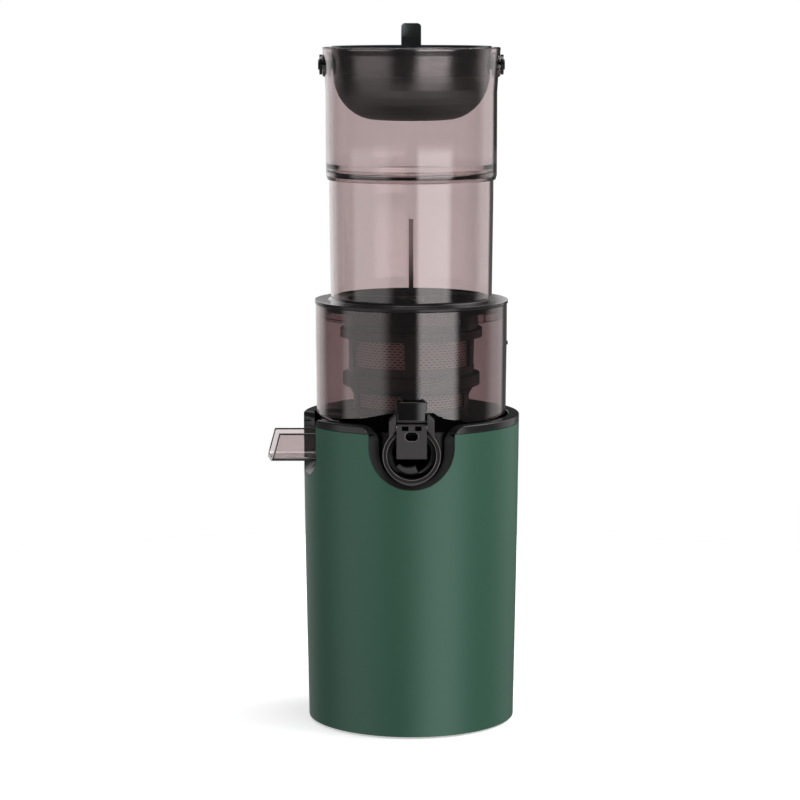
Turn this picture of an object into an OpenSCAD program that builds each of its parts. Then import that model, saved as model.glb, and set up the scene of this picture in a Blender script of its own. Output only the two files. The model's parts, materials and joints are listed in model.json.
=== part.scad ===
// Vertical slow juicer: a round base with motor and gearbox, a juicing bowl with strainer and screw,
// and a tall feed tube with a tipping bucket. The origin is the centre of the foot plane, +Z is up,
// the round outlet faces -Y and the juice spout points along -X.

/* [Base] */
// Outer radius of the collar at the top of the base
rim_r = 68; // [67:0.5:69.5]
// Outer radius of the shell at its lower edge
foot_r = 65.1; // [64.5:0.1:67]
// Height of the collar's top face
rim_z = 195; // [193:1:200]
// Width of the collar's top face
rim_w = 7; // [6.5:0.5:7.5]
// Height of the black collar above the shell
collar_h = 5; // [4:0.5:6]
// Wall of the shell
shell_t = 2.6; // [2:0.2:3]
// How far the feet stand below the shell
foot_h = 1.2; // [1:0.2:2]

/* [Bowl] */
// Height of the bowl from its floor to its rim
bowl_h = 70.7; // [68:0.5:76]
// Wall of the bowl
bowl_t = 2.5; // [2:0.25:2.5]
// Outer radius of the round outlet
outlet_r = 17.7; // [17:0.1:18.2]
// Width of the juice spout
spout_w = 25; // [22:1:25]
// Distance of the juice spout's tip from the axis
spout_reach = 89; // [84:1:95]

/* [Strainer and screw] */
// Radius of the strainer's upper body
strainer_r = 40.2; // [39.5:0.1:41]
// Number of windows round the strainer
window_count = 5; // [4:1:6]
// Twist of the screw's flights in degrees
screw_twist = 300; // [240:30:360]
// Width of the hexagon that drives the screw, across its flats
hex_af = 10; // [9:0.5:10]

/* [Feed] */
// Outer radius of the feed tube at its top
tube_r = 51.2; // [50.5:0.1:51.5]
// Height of the feed tube above the lid's flange
tube_h = 80; // [70:1:90]
// Wall of the feed tube and hopper
tube_t = 2; // [1.8:0.1:2.1]
// Height of the hopper above the feed tube
hopper_h = 76.7; // [72:0.1:80]
// Depth of the tipping bucket below its pivot
bucket_depth = 34; // [30:1:36]
// Width of the bucket's finger tab
tab_w = 12.7; // [10:0.1:16]
// Height of the finger tab above the bucket's rim
tab_h = 13.8; // [10:0.1:16]

/* [Gears] */
// Gear module
gear_m = 1.25; // [1.2:0.05:1.25]
// Teeth on each pinion
pinion_teeth = 12; // [12:1:12]
// Teeth on each large gear
wheel_teeth = 36; // [36:1:36]
// Pressure angle of the teeth
pressure_angle = 25; // [25:1:25]

/* [Fits] */
// Radial clearance of a running fit
run_gap = 0.06; // [0.03:0.01:0.08]
// Gap between pieces that sit on each other
seat_gap = 0.3; // [0.25:0.05:0.35]

/* [Hidden] */
$fn = 96;
eps = 0.01;

// Levels of the base
shell_z = foot_h;
seam_z = rim_z - collar_h;
well_r = rim_r - rim_w;
deck_z = rim_z - 44;
deck_t = 4;
deck_r = body_r(rim_z - 56) - shell_t - seat_gap;
plate_z = foot_h + 1;
plate_t = 3;
shell_bore = foot_r - shell_t - 0.4;

// Levels of the bowl
bowl_z = rim_z - 1.5;
bowl_r = well_r - 1;
bowl_rim_z = bowl_z + bowl_h;
floor_z = bowl_z + 4.5;
lip_r = bowl_r - 5;
skirt_r = bowl_r - 2.5;
block_top = bowl_z - seat_gap - 2;
outlet_z = rim_z - 16.7;
outlet_y = -(rim_r + 2.5);
outlet_bore = outlet_r - 2.8;
sleeve_r = outlet_bore - 0.3;
spout_y = -15;
spout_floor_z = rim_z - 27.6;
spout_h = 17.8;
spout_t = 2;

// Front notch and left notch in the collar: half width, corner radius, floor and flare of each edge
front_out = [26.2, 25.7, rim_z - 38.6, 7];
front_in = [19.5, 19.5, rim_z - 36.2, 11];
side_out = [17.6, 13, rim_z - 36.6, 3];
side_in = [13.2, 9, rim_z - 31.2, 4];

// Flap and its hinge
flap_z = rim_z;
flap_w = 18.4;
flap_l = 20.7;
pin_r = 1.25;

// Strainer
rim_z0 = bowl_z + 51;
mid_z = floor_z + 19;
mesh_t = 0.6;
low_r = strainer_r - 3.5;

// Screw
screw_z = floor_z + 4.5;
screw_top = bowl_rim_z - 3;
screw_r = low_r - 1.6 - mesh_t - 1;

// Lid, tube and hopper
lid_z = bowl_rim_z + 0.3;
lid_t = 2.3;
tube_top = lid_z + lid_t + tube_h;
hopper_low = tube_top - 5;
hopper_top = tube_top + hopper_h;
pivot_z = hopper_top - 10.7;
hopper_r = tube_r + tube_t + 0.1;
bucket_r = tube_r - 1.5;
bucket_t = 1.8;
pivot_r = 3.1;
cap_x = tube_r + 3.9;

// Gearbox and motor
gear_gap = gear_m * (pinion_teeth + wheel_teeth) / 2;
stage_z = 100;
face_w = 10;
wheel_r = gear_m * (wheel_teeth / 2 + 1);
case_z = stage_z - 7;
case_top = stage_z + 29;
case_in = wheel_r + 1.6;
case_out = case_in + 2.4;
motor_r = 34;
motor_z = 20;
motor_h = case_z - motor_z - 0.3;
shaft_r = 6;
motor_shaft_r = 3;

black = [0.07, 0.07, 0.07];
green = [0.13, 0.32, 0.22];
smoke = [0.55, 0.42, 0.42, 0.5];
steel = [0.72, 0.73, 0.75];

// Outer radius of the shell at a height, swelling gently from the foot to the collar
function body_r(z) = foot_r + (rim_r - foot_r) * (1 - pow(1 - min(z, rim_z) / rim_z, 1.3));

// Points of an arc in the plane, from one angle to another
function arc(cx, cy, r, from, to, n = 8) =
    [for (i = [0:n]) let (t = from + (to - from) * i / n) [cx + r * cos(t), cy + r * sin(t)]];

module ring(r_out, r_in, z0, z1) {
    translate([0, 0, z0])
        difference() {
            cylinder(r = r_out, h = z1 - z0);
            translate([0, 0, -1])
                cylinder(r = r_in, h = z1 - z0 + 2);
        }
}

module round_at(count, radius, start = 0) {
    for (i = [0:count - 1])
        rotate([0, 0, start + 360 * i / count])
            translate([radius, 0, 0])
                children();
}

module along_y(y0, y1, z, r) {
    translate([0, y0, z])
        rotate([-90, 0, 0])
            cylinder(r = r, h = y1 - y0);
}

module along_x(x0, x1, y, z, r) {
    translate([x0, y, z])
        rotate([0, 90, 0])
            cylinder(r = r, h = x1 - x0);
}

module box(low, high) {
    translate(low)
        cube(high - low);
}

// Solid of revolution that follows the shell's outside between two heights
module body_solid(z0, z1, inset = 0) {
    steps = 8;
    rotate_extrude()
        polygon(concat([[0, z0]],
            [for (i = [0:steps]) let (z = z0 + (z1 - z0) * i / steps) [body_r(z) - inset, z]],
            [[0, z1]]));
}

// Prism of a notch outline, cut along -Y through the front wall
module notch_prism(size, top, grow = 0) {
    w = size[0] + grow;
    rc = size[1] + grow;
    z0 = size[2] - grow;
    translate([0, -40, 0])
        rotate([90, 0, 0])
            linear_extrude(45)
                union() {
                    translate([-w, z0 + rc])
                        square([2 * w, top - z0 - rc + 8]);
                    translate([-w + rc, z0 + rc])
                        circle(rc);
                    translate([w - rc, z0 + rc])
                        circle(rc);
                    if (w > rc)
                        translate([-w + rc, z0])
                            square([2 * (w - rc), rc + 1]);
                }
}

// Cut through a notch: the inner outline, with rounded shoulders where it meets the collar's top
module notch_cut(size, offset) {
    w = size[0];
    fr = size[3];
    translate([offset, 0, 0]) {
        notch_prism(size, rim_z);
        translate([0, -40, 0])
            rotate([90, 0, 0])
                linear_extrude(45)
                    for (s = [-1, 1])
                        difference() {
                            translate([s > 0 ? w - 1 : -w - fr, rim_z - fr])
                                square([fr + 1, fr + 8]);
                            translate([s * (w + fr), rim_z - fr])
                                circle(fr);
                        }
    }
}

module outer_shell() {
    color(green)
        difference() {
            union() {
                difference() {
                    body_solid(shell_z, seam_z);
                    translate([0, 0, -1])
                        body_solid(shell_z, seam_z + 3, shell_t);
                }
                round_at(4, 48, 45) {
                    ring(4.2, 1.5, plate_z + plate_t + 0.3, 22);
                    box([3.8, -1, plate_z + plate_t + 0.3], [foot_r - shell_t - 47.5, 1, 22]);
                }
            }
            notch_prism(front_out, seam_z, 0.15);
            rotate([0, 0, -90])
                translate([-spout_y, 0, 0])
                    notch_prism(side_out, seam_z, 0.15);
            box([-11.2, 40, 108.8], [11.2, 80, 131.2]);
            along_y(40, 80, 22, 8.2);
        }
}

module collar() {
    color(black)
        difference() {
            union() {
                rotate_extrude()
                    polygon(concat([[well_r, seam_z + 0.15], [body_r(seam_z), seam_z + 0.15]],
                        arc(rim_r - 0.9, rim_z - 0.9, 0.9, 0, 90, 4),
                        arc(well_r + 0.6, rim_z - 0.6, 0.6, 90, 180, 4)));
                ring(well_r + 2, well_r, deck_z + 0.3, seam_z + 0.2);
                intersection() {
                    body_solid(seam_z - 40, seam_z + 0.2);
                    union() {
                        notch_prism(front_out, seam_z);
                        rotate([0, 0, -90])
                            translate([-spout_y, 0, 0])
                                notch_prism(side_out, seam_z);
                    }
                }
            }
            translate([0, 0, deck_z])
                cylinder(r = well_r, h = 100);
            notch_cut(front_in, 0);
            rotate([0, 0, -90])
                notch_cut(side_in, -spout_y);
        }
}

module deck() {
    color(black)
        difference() {
            union() {
                ring(deck_r, 13, deck_z - deck_t, deck_z);
                ring(deck_r, deck_r - 3, deck_z - 12, deck_z - deck_t + eps);
                ring(17, 13, deck_z - 8, deck_z + 3);
                round_at(4, 45, 45)
                    ring(4.5, 1.3, case_top + 3.3, deck_z - deck_t + eps);
            }
            round_at(4, 45, 45)
                translate([0, 0, case_top])
                    cylinder(r = 1.3, h = 14);
        }
}

module base_plate() {
    color(black)
        difference() {
            union() {
                translate([0, 0, plate_z])
                    cylinder(r = shell_bore, h = plate_t);
                for (s = [-1, 1])
                    box([s * 24.8 - 2.4, 43, plate_z], [s * 24.8 + 2.4, 48.6, 62]);
            }
            box([-24.3, 44.7, 33.7], [24.3, 46.9, 80]);
            round_at(4, 48, 45)
                translate([0, 0, plate_z - 1])
                    cylinder(r = 1.9, h = 20);
            for (i = [-4:4])
                box([-20, i * 6 - 1.5, 0], [20, i * 6 + 1.5, 20]);
        }
}

// One rubber ring, with slots along its top for the cooling air
module foot_ring() {
    color([0.12, 0.12, 0.12])
        difference() {
            ring(60, 53, 0, plate_z);
            for (i = [0:7])
                rotate([0, 0, i * 45 + 22.5])
                    box([50, -5, plate_z - 1], [64, 5, plate_z + 1]);
        }
}

module base_screws() {
    color(steel)
        round_at(4, 48, 45) {
            translate([0, 0, plate_z + plate_t - 0.4])
                cylinder(r = 1.6, h = 9);
            translate([0, 0, plate_z - 1.6])
                difference() {
                    cylinder(r = 3.4, h = 1.6);
                    box([-2, -0.4, -1], [2, 0.4, 0.8]);
                    box([-0.4, -2, -1], [0.4, 2, 0.8]);
                }
            translate([0, 0, plate_z - 0.1])
                cylinder(r = 1.6, h = plate_t + 1);
        }
}

// Outline of the gearbox round both gear axes
module case_outline(r, z0, z1) {
    translate([0, 0, z0])
        cylinder(r = r, h = z1 - z0);
    translate([gear_gap, 0, z0])
        cylinder(r = r, h = z1 - z0);
    box([0, -r, z0], [gear_gap, r, z1]);
}

module case_ears(z0, z1, r) {
    for (x = [-18, 48])
        for (s = [-1, 1])
            translate([x, s * 25, z0])
                cylinder(r = r, h = z1 - z0);
}

module gearbox_case() {
    color(steel)
        difference() {
            union() {
                case_outline(case_out, case_z, case_top);
                case_ears(case_z, case_top, 4);
            }
            case_outline(case_in, case_z + 3, case_top + 1);
            translate([0, 0, case_z - 1])
                cylinder(r = 9, h = 6);
            translate([gear_gap, 0, case_z - 1])
                cylinder(r = 3, h = 6);
            case_ears(case_z - 1, case_top + 1, 1.6);
        }
}

module gearbox_cover() {
    color(steel)
        difference() {
            union() {
                case_outline(case_out, case_top + 0.1, case_top + 3);
                case_ears(case_top + 0.1, case_top + 3, 4);
                round_at(4, 45, 45)
                    translate([0, 0, case_top + 0.1])
                        cylinder(r = 4.5, h = 2.9);
                for (a = [45:90:315])
                    rotate([0, 0, a])
                        box([20, -3, case_top + 0.1], [45, 3, case_top + 3]);
                translate([0, 0, case_top + 0.1])
                    cylinder(r = 12, h = 10);
            }
            translate([0, 0, case_top - 1])
                cylinder(r = 9, h = 20);
            translate([gear_gap, 0, case_top - 1])
                cylinder(r = 3, h = 3);
            case_ears(case_top - 1, case_top + 5, 1.6);
            round_at(4, 45, 45)
                translate([0, 0, case_top - 1])
                    cylinder(r = 1.6, h = 9);
        }
}

module screw_solid(z, length, head_up = true) {
    translate([0, 0, z]) {
        cylinder(r = 1.4, h = length, $fn = 32);
        translate([0, 0, head_up ? length - eps : -2])
            cylinder(r = 2.8, h = 2 + eps, $fn = 32);
    }
}

module gearbox_screws() {
    color(steel) {
        for (x = [-18, 48])
            for (s = [-1, 1])
                translate([x, s * 25, 0])
                    screw_solid(case_top - 16, 19.1);
        round_at(4, 45, 45)
            screw_solid(case_top, 10, false);
    }
}

module motor_case() {
    color(steel)
        difference() {
            translate([0, 0, motor_z + 8])
                cylinder(r = motor_r, h = motor_h - 8);
            translate([0, 0, motor_z])
                cylinder(r = motor_r - 2, h = motor_h - 3);
            translate([0, 0, case_z - 10])
                cylinder(r = 8, h = 20);
            for (i = [0:5])
                rotate([0, 0, i * 60 + 30])
                    box([motor_r - 6, -7, motor_z + 50], [motor_r + 2, 7, motor_z + 56]);
        }
}

module motor_endcap() {
    color(black)
        difference() {
            union() {
                translate([0, 0, motor_z])
                    cylinder(r = motor_r + 1, h = 7.7);
                ring(12, 8, motor_z - 6, motor_z + 1);
            }
            translate([0, 0, motor_z + 3])
                cylinder(r = motor_r - 2, h = 10);
            translate([0, 0, motor_z - 7])
                cylinder(r = 8, h = 20);
            round_at(6, 22)
                translate([0, 0, motor_z - 1])
                    cylinder(r = 5, h = 6);
        }
}

module stator() {
    color([0.5, 0.45, 0.4])
        difference() {
            translate([0, 0, motor_z + 12])
                cylinder(r = motor_r - 2.3, h = 34);
            translate([0, 0, motor_z + 11])
                cylinder(r = 20, h = 36);
            round_at(12, 24.5)
                translate([0, 0, motor_z + 11])
                    cylinder(r = 2.6, h = 36, $fn = 24);
        }
}

module motor_bearings() {
    color(steel) {
        ring(7.7, motor_shaft_r + run_gap, motor_z - 5, motor_z + 1);
        ring(7.7, motor_shaft_r + run_gap, case_z - 3.3, case_z + 2.7);
    }
}

module control_board() {
    color([0.1, 0.35, 0.15])
        difference() {
            box([-24, 45, 34], [24, 46.6, 88]);
            for (x = [-21, 21])
                for (z = [37, 85])
                    along_y_hole(x, z);
        }
}

module along_y_hole(x, z) {
    translate([x, 0, 0])
        along_y(44, 48, z, 1.6);
}

module board_parts() {
    color([0.15, 0.15, 0.2]) {
        box([-18, 47, 62], [-2, 57, 80]);
        translate([12, 0, 0])
            along_y(47, 58, 70, 6);
        translate([12, 0, 0])
            along_y(47, 55, 52, 4.5);
        box([-20, 47, 40], [-6, 52, 56]);
        box([2, 36.5, 40], [6, 44.8, 56]);
    }
}

module switch_frame() {
    color(black)
        difference() {
            union() {
                difference() {
                    box([-13, 50, 107], [13, body_r(120) + 1, 133]);
                    body_solid(100, 140, -0.2);
                }
                box([-11, 49, 109], [11, body_r(120) + 0.5, 131]);
            }
            box([-9, 51, 111], [9, 80, 129]);
            translate([0, body_r(120) - 5, 120])
                rotate([0, 90, 0])
                    translate([0, 0, -9.9])
                        cylinder(r = 1.5 + run_gap, h = 19.8);
        }
}

module rocker() {
    color(black)
        difference() {
            union() {
                translate([-8.6, body_r(120) - 5, 120])
                    rotate([0, 90, 0])
                        cylinder(r = 1.5, h = 17.2);
                along_x(-9.6, 9.6, body_r(120) - 5, 120, 1.5);
                intersection() {
                    box([-8.6, body_r(120) - 7, 112.2], [8.6, body_r(120) + 3, 127.8]);
                    along_x(-8.6, 8.6, body_r(120) - 14, 120, 16.4);
                }
            }
            along_x(-12, 12, body_r(120) + 13, 120, 12.2);
        }
}

module cord_gland() {
    color(black)
        difference() {
            union() {
                along_y(body_r(22) + 0.3, body_r(22) + 3, 22, 10.5);
                along_y(body_r(22) - 6, body_r(22) + 0.4, 22, 8);
                along_y(body_r(22) - 9.5, body_r(22) - 4, 22, 9.4);
            }
            along_y(40, 90, 22, 3.6);
        }
}

module shaft_seal() {
    color([0.12, 0.12, 0.12])
        union() {
            ring(12.8, shaft_r + 1.6, deck_z - 7, deck_z + 2);
            ring(shaft_r + 2, shaft_r + 0.35, deck_z - 4, deck_z - 1);
        }
}

module shaft_bush() {
    color([0.8, 0.6, 0.3])
        ring(8.8, shaft_r + run_gap, case_top - 0.5, case_top + 10);
}

module idler_pin() {
    color(steel)
        translate([gear_gap, 0, case_z])
            cylinder(r = 2.97, h = case_top + 2 - case_z);
}

// Involute half angle of a tooth at radius r
function inv(a) = tan(a) * 180 / PI - a;
function tooth_half(n, r, thin) = let (rb = gear_m * n / 2 * cos(pressure_angle))
    90 / n - thin * 180 / PI / (gear_m * n / 2) + inv(pressure_angle) - inv(acos(min(1, rb / r)));
function tooth(n, thin) = let (rp = gear_m * n / 2, rb = rp * cos(pressure_angle),
    ra = rp + gear_m, rf = rp - 1.25 * gear_m, r0 = max(rb, rf), k = 4)
    concat([[rf, -tooth_half(n, r0, thin) - 2 / n]],
        [for (i = [0:k]) let (r = r0 + (ra - r0) * i / k) [r, -tooth_half(n, r, thin)]],
        [for (i = [k:-1:0]) let (r = r0 + (ra - r0) * i / k) [r, tooth_half(n, r, thin)]],
        [[rf, tooth_half(n, r0, thin) + 2 / n]]);

module gear(n, height, turn, thin = 0.08) {
    rotate([0, 0, turn])
        linear_extrude(height)
            polygon([for (i = [0:n - 1]) each [for (p = tooth(n, thin))
                [p[0] * cos(p[1] + i * 360 / n), p[0] * sin(p[1] + i * 360 / n)]]]);
}

half_pitch = 180 / wheel_teeth;

module rotor() {
    color([0.6, 0.35, 0.2])
        difference() {
            union() {
                translate([0, 0, motor_z + 13])
                    cylinder(r = 19.2, h = 32);
                translate([0, 0, motor_z + 8])
                    cylinder(r = 9, h = 42);
            }
            translate([0, 0, motor_z])
                cylinder(r = motor_shaft_r, h = 60);
            round_at(9, 19.5)
                translate([0, 0, motor_z + 12])
                    cylinder(r = 1.4, h = 36, $fn = 24);
        }
}

module motor_shaft() {
    color(steel)
        translate([0, 0, motor_z - 5.5])
            cylinder(r = motor_shaft_r, h = stage_z + face_w + 15.5 - motor_z - 10.5);
}

module motor_pinion() {
    color(steel)
        translate([0, 0, stage_z])
            difference() {
                gear(pinion_teeth, face_w, 0);
                translate([0, 0, -1])
                    cylinder(r = motor_shaft_r, h = face_w + 2);
            }
}

module idler_gear() {
    color([0.85, 0.85, 0.8])
        translate([gear_gap, 0, stage_z])
            difference() {
                union() {
                    gear(wheel_teeth, face_w, half_pitch);
                    translate([0, 0, face_w - 1])
                        cylinder(r = gear_m * pinion_teeth / 2 - 1.6, h = 3);
                    translate([0, 0, face_w + 1.5])
                        gear(pinion_teeth, face_w + 4, 0);
                }
                translate([0, 0, -1])
                    cylinder(r = 2.97 + run_gap, h = 40);
                round_at(6, 14.5)
                    translate([0, 0, -1])
                        cylinder(r = 3.2, h = face_w + 2);
            }
}

module drive_gear() {
    color([0.85, 0.85, 0.8])
        translate([0, 0, stage_z + face_w + 2])
            difference() {
                gear(wheel_teeth, face_w + 3, half_pitch);
                translate([0, 0, -1])
                    cylinder(r = shaft_r, h = 40);
                round_at(6, 14.5)
                    translate([0, 0, -1])
                        cylinder(r = 3.2, h = face_w + 5);
            }
}

module drive_shaft() {
    color(steel)
        translate([0, 0, stage_z + face_w + 1.4])
            union() {
                cylinder(r = shaft_r, h = screw_z - 0.6 - stage_z - face_w - 1.4);
                cylinder(r = hex_af / sqrt(3), h = screw_z + 14 - stage_z - face_w - 1.4, $fn = 6);
            }
}

module bowl() {
    color(smoke)
        difference() {
            rotate_extrude()
                polygon(concat([[lip_r, bowl_z]],
                    arc(bowl_r - 3.4, bowl_z + 3, 3, 270, 360, 6),
                    [[bowl_r - 0.4, bowl_z + 12], [bowl_r, bowl_z + 46.5], [bowl_r, bowl_rim_z],
                    [bowl_r - bowl_t, bowl_rim_z], [bowl_r - bowl_t, bowl_z + 2], [lip_r, bowl_z + 2]]));
            along_y(-80, -lip_r + 6, outlet_z, outlet_r + 0.7);
        }
}

// Stepped floor of the bowl, sealed into its foot and resting on the block below
module bowl_floor() {
    color([0.12, 0.11, 0.11])
        difference() {
            union() {
                ring(skirt_r, 12.3, block_top, bowl_z - seat_gap);
                ring(lip_r - 0.3, 12.3, bowl_z - seat_gap - 0.1, bowl_z + 2.4);
                ring(bowl_r - bowl_t - 0.3, 12.3, bowl_z + 2.3, floor_z);
            }
            box([-9, -34.5, block_top - 1], [9, -21.5, floor_z + 1]);
            box([-skirt_r + 4, spout_y - 9, block_top - 1], [-strainer_r - 1, spout_y + 9, floor_z + 1]);
        }
}

module bowl_base() {
    top = block_top;
    low = deck_z + seat_gap;
    duct_r = 14.2;
    color(black)
        difference() {
            union() {
                ring(skirt_r, skirt_r - 2.5, low, top);
                ring(skirt_r, 21, low, low + 2.5);
                ring(24, 21, low, low + 5);
                ring(12, 9, low + 6, floor_z + 3.5);
                ring(24, 9, low + 4.5, low + 7);
                intersection() {
                    along_y(-skirt_r + 0.5, -10, outlet_z, duct_r);
                    box([-20, -80, 0], [20, 0, top]);
                }
                box([-11, -36, outlet_z], [11, -20, top]);
                intersection() {
                    box([-skirt_r, spout_y - spout_w / 2 - 2, spout_floor_z - 2.5],
                        [-36, spout_y + spout_w / 2 + 2, top]);
                    translate([0, 0, low])
                        cylinder(r = skirt_r, h = top - low);
                }
            }
            along_y(-80, -11.9, outlet_z, duct_r - 2);
            translate([0, 0, low - 1])
                cylinder(r = 9, h = 60);
            box([-9, -34.5, outlet_z], [9, -21.5, floor_z + 1]);
            box([-80, spout_y - spout_w / 2 - 0.3, spout_floor_z - 0.3],
                [-38.5, spout_y + spout_w / 2 + 0.3, top + 1]);
            along_y(-80, -skirt_r + 6, outlet_z, sleeve_r + 0.6);
        }
}

// Cross-section of the juice spout, an open trough with rounded lower corners
module trough(w, h, r) {
    translate([-w / 2, r])
        square([w, h - r]);
    translate([-w / 2 + r, 0])
        square([w - 2 * r, r + 1]);
    for (s = [-1, 1])
        translate([s * (w / 2 - r), r])
            circle(r);
}

module juice_spout() {
    back = -39;
    color(smoke)
        difference() {
            translate([back, spout_y, spout_floor_z])
                rotate([90, 0, -90])
                    linear_extrude(spout_reach + 6 + back)
                        trough(spout_w, spout_h, 5);
            translate([back - spout_t, spout_y, spout_floor_z + spout_t])
                rotate([90, 0, -90])
                    linear_extrude(spout_reach + 20 + back)
                        trough(spout_w - 2 * spout_t, spout_h, 3.5);
            translate([-spout_reach, spout_y, spout_floor_z])
                rotate([0, 15, 9])
                    box([-30, -40, -30], [0.01, 40, 50]);
        }
}

module outlet_ring() {
    color(black)
        difference() {
            along_y(outlet_y, -skirt_r - 0.3, outlet_z, outlet_r);
            along_y(outlet_y - 1, -skirt_r + 2, outlet_z, outlet_bore);
            box([-14.5, outlet_y - 1, outlet_z + 13.2], [14.5, -40, rim_z + 10]);
            translate([0, 0, bowl_z - 1])
                cylinder(r = bowl_r + 0.3, h = 30);
        }
}

module outlet_sleeve() {
    color([0.15, 0.13, 0.13])
        difference() {
            along_y(-skirt_r - 7, -skirt_r + 5.6, outlet_z, sleeve_r - 0.1);
            along_y(-80, -40, outlet_z, sleeve_r - 2.6);
            box([-40, -80, outlet_z + 12.8], [40, -40, rim_z + 10]);
            for (i = [0:5])
                rotate_about_outlet(i * 14 - 48)
                    box([-3.4, -skirt_r - 8, sleeve_r - 2], [3.4, -skirt_r - 6.4 + i * 0.9, sleeve_r + 3]);
        }
}

// Turns its children about the outlet's axis, starting from straight down
module rotate_about_outlet(turn) {
    translate([0, 0, outlet_z])
        rotate([0, turn, 0])
            mirror([0, 0, 1])
                children();
}

// Block on the bowl's wall that carries the flap's hinge
module outlet_bracket() {
    color(black)
        difference() {
            union() {
                intersection() {
                    ring(bowl_r + 6, bowl_r + 0.3, flap_z + 2.4, flap_z + 15.5);
                    box([-9.5, -80, flap_z], [9.5, -40, flap_z + 20]);
                }
                intersection() {
                    ring(bowl_r + 5, bowl_r + 0.3, flap_z - 3.2, flap_z + 5);
                    box([-13.8, -80, flap_z - 5], [13.8, -40, flap_z + 5]);
                }
                for (s = [-1, 1])
                    ear(s);
            }
            along_x(-20, 20, outlet_y + 1.5, flap_z, pin_r);
        }
}

module ear(side) {
    w = 3.8;
    x = side > 0 ? 13.8 - w : -13.8;
    translate([x, 0, 0])
        rotate([90, 0, 90])
            linear_extrude(w)
                polygon([[outlet_y - 1.2, flap_z - 3], [-bowl_r + 1, flap_z - 3], [-bowl_r - 1, flap_z + 5],
                    [outlet_y + 3, flap_z + 5], [outlet_y - 1.2, flap_z + 1.5]]);
}

module flap_pin() {
    color(steel)
        along_x(-13, 13, outlet_y + 1.5, flap_z, pin_r - 0.01);
}

module outlet_flap() {
    front = outlet_y - 2.6;
    color([0.2, 0.2, 0.2])
        difference() {
            union() {
                box([-flap_w / 2, front, flap_z + 2.2 - flap_l + 2], [flap_w / 2, front + 2, flap_z + 2.2]);
                translate([-flap_w / 2, front, flap_z + 2.2 - flap_l])
                    rotate([90, 0, 90])
                        linear_extrude(flap_w)
                            polygon([[0.8, 0], [2, 0], [2, 2.1], [0, 2.1]]);
                along_x(-flap_w / 2, flap_w / 2, outlet_y + 1.5, flap_z, 2.3);
                box([-flap_w / 2, front + 1, flap_z - 1.2], [flap_w / 2, outlet_y + 1.5, flap_z + 1.2]);
            }
            along_x(-20, 20, outlet_y + 1.5, flap_z, pin_r + run_gap);
            for (x = [-6, 1.6])
                box([x, front - 1, flap_z - 1.7], [x + 4, front + 2.1, flap_z + 0.2]);
            box([-3.7, front - 1, flap_z - 7.8], [3.7, front + 3, flap_z - 3.2]);
        }
}

module strainer_frame() {
    pitch = 360 / window_count;
    up_w = 2 * strainer_r * sin(pitch / 2 - 6.5);
    color(black)
        difference() {
            union() {
                rotate_extrude()
                    polygon([[strainer_r - 1.8, rim_z0 + 4.5], [strainer_r + 4.4, rim_z0 + 4.5],
                        [strainer_r + 4.4, rim_z0 - 0.5], [strainer_r, rim_z0 - 0.5],
                        [strainer_r - 0.9, mid_z + 5], [strainer_r + 2.8, mid_z + 4],
                        [strainer_r + 2.8, mid_z - 3], [strainer_r - 1.5, mid_z - 5],
                        [low_r, mid_z - 9], [low_r, floor_z + 0.3], [low_r - 13, floor_z + 0.3],
                        [low_r - 13, floor_z + 2.3], [low_r - 1.6, floor_z + 2.3],
                        [low_r - 1.6, mid_z - 9], [strainer_r - 2.7, mid_z - 3],
                        [strainer_r - 2.7, mid_z + 6]]);
            }
            for (i = [0:window_count - 1])
                rotate([0, 0, -90 + pitch / 2 + i * pitch])
                    window_cut(mid_z + 9.5, rim_z0 - 0.6, up_w);
            for (i = [0:window_count - 1])
                rotate([0, 0, -90 + pitch / 2 + i * pitch])
                    window_cut(floor_z + 2.8, mid_z - 7, up_w * 0.86);
            box([-9.4, -34, floor_z - 1], [9.4, -22, floor_z + 3]);
        }
}

module window_cut(z0, z1, w) {
    translate([20, 0, 0])
        box([0, -w / 2, z0], [40, w / 2, z1]);
}

module strainer_mesh() {
    color([0.75, 0.6, 0.6])
        union() {
            ring(strainer_r - 3, strainer_r - 3 - mesh_t, mid_z - 1, rim_z0 + 4);
            ring(low_r - 1.9, low_r - 1.9 - mesh_t, floor_z + 2.6, mid_z - 8.6);
            rotate_extrude()
                polygon([[low_r - 1.9, mid_z - 9], [strainer_r - 3, mid_z - 0.9],
                    [strainer_r - 3 - mesh_t, mid_z - 0.9], [low_r - 1.9 - mesh_t, mid_z - 9]]);
        }
}

module bowl_seal() {
    color([0.5, 0.5, 0.52])
        union() {
            ring(8.9, shaft_r + 1, bowl_z + 1, floor_z + 4.2);
            ring(shaft_r + 1.2, shaft_r + 0.35, bowl_z + 2, bowl_z + 4);
        }
}

// Cross-section of the screw: a round core with two flights, one wide and one narrow
module flight_section(core, tip) {
    circle(core, $fn = 24);
    for (f = [[0, 14], [180, 9]])
        polygon([for (p = [[core - 2, -2.2 * f[1] / 2], [tip - 3, -f[1] / 2], [tip, -f[1] / 3.2],
            [tip, f[1] / 3.2], [tip - 3, f[1] / 2], [core - 2, 2.2 * f[1] / 2]])
            [p[0] * cos(f[0]) - p[1] * sin(f[0]) / 2.2, p[0] * sin(f[0]) + p[1] * cos(f[0]) / 2.2]]);
}

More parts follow.
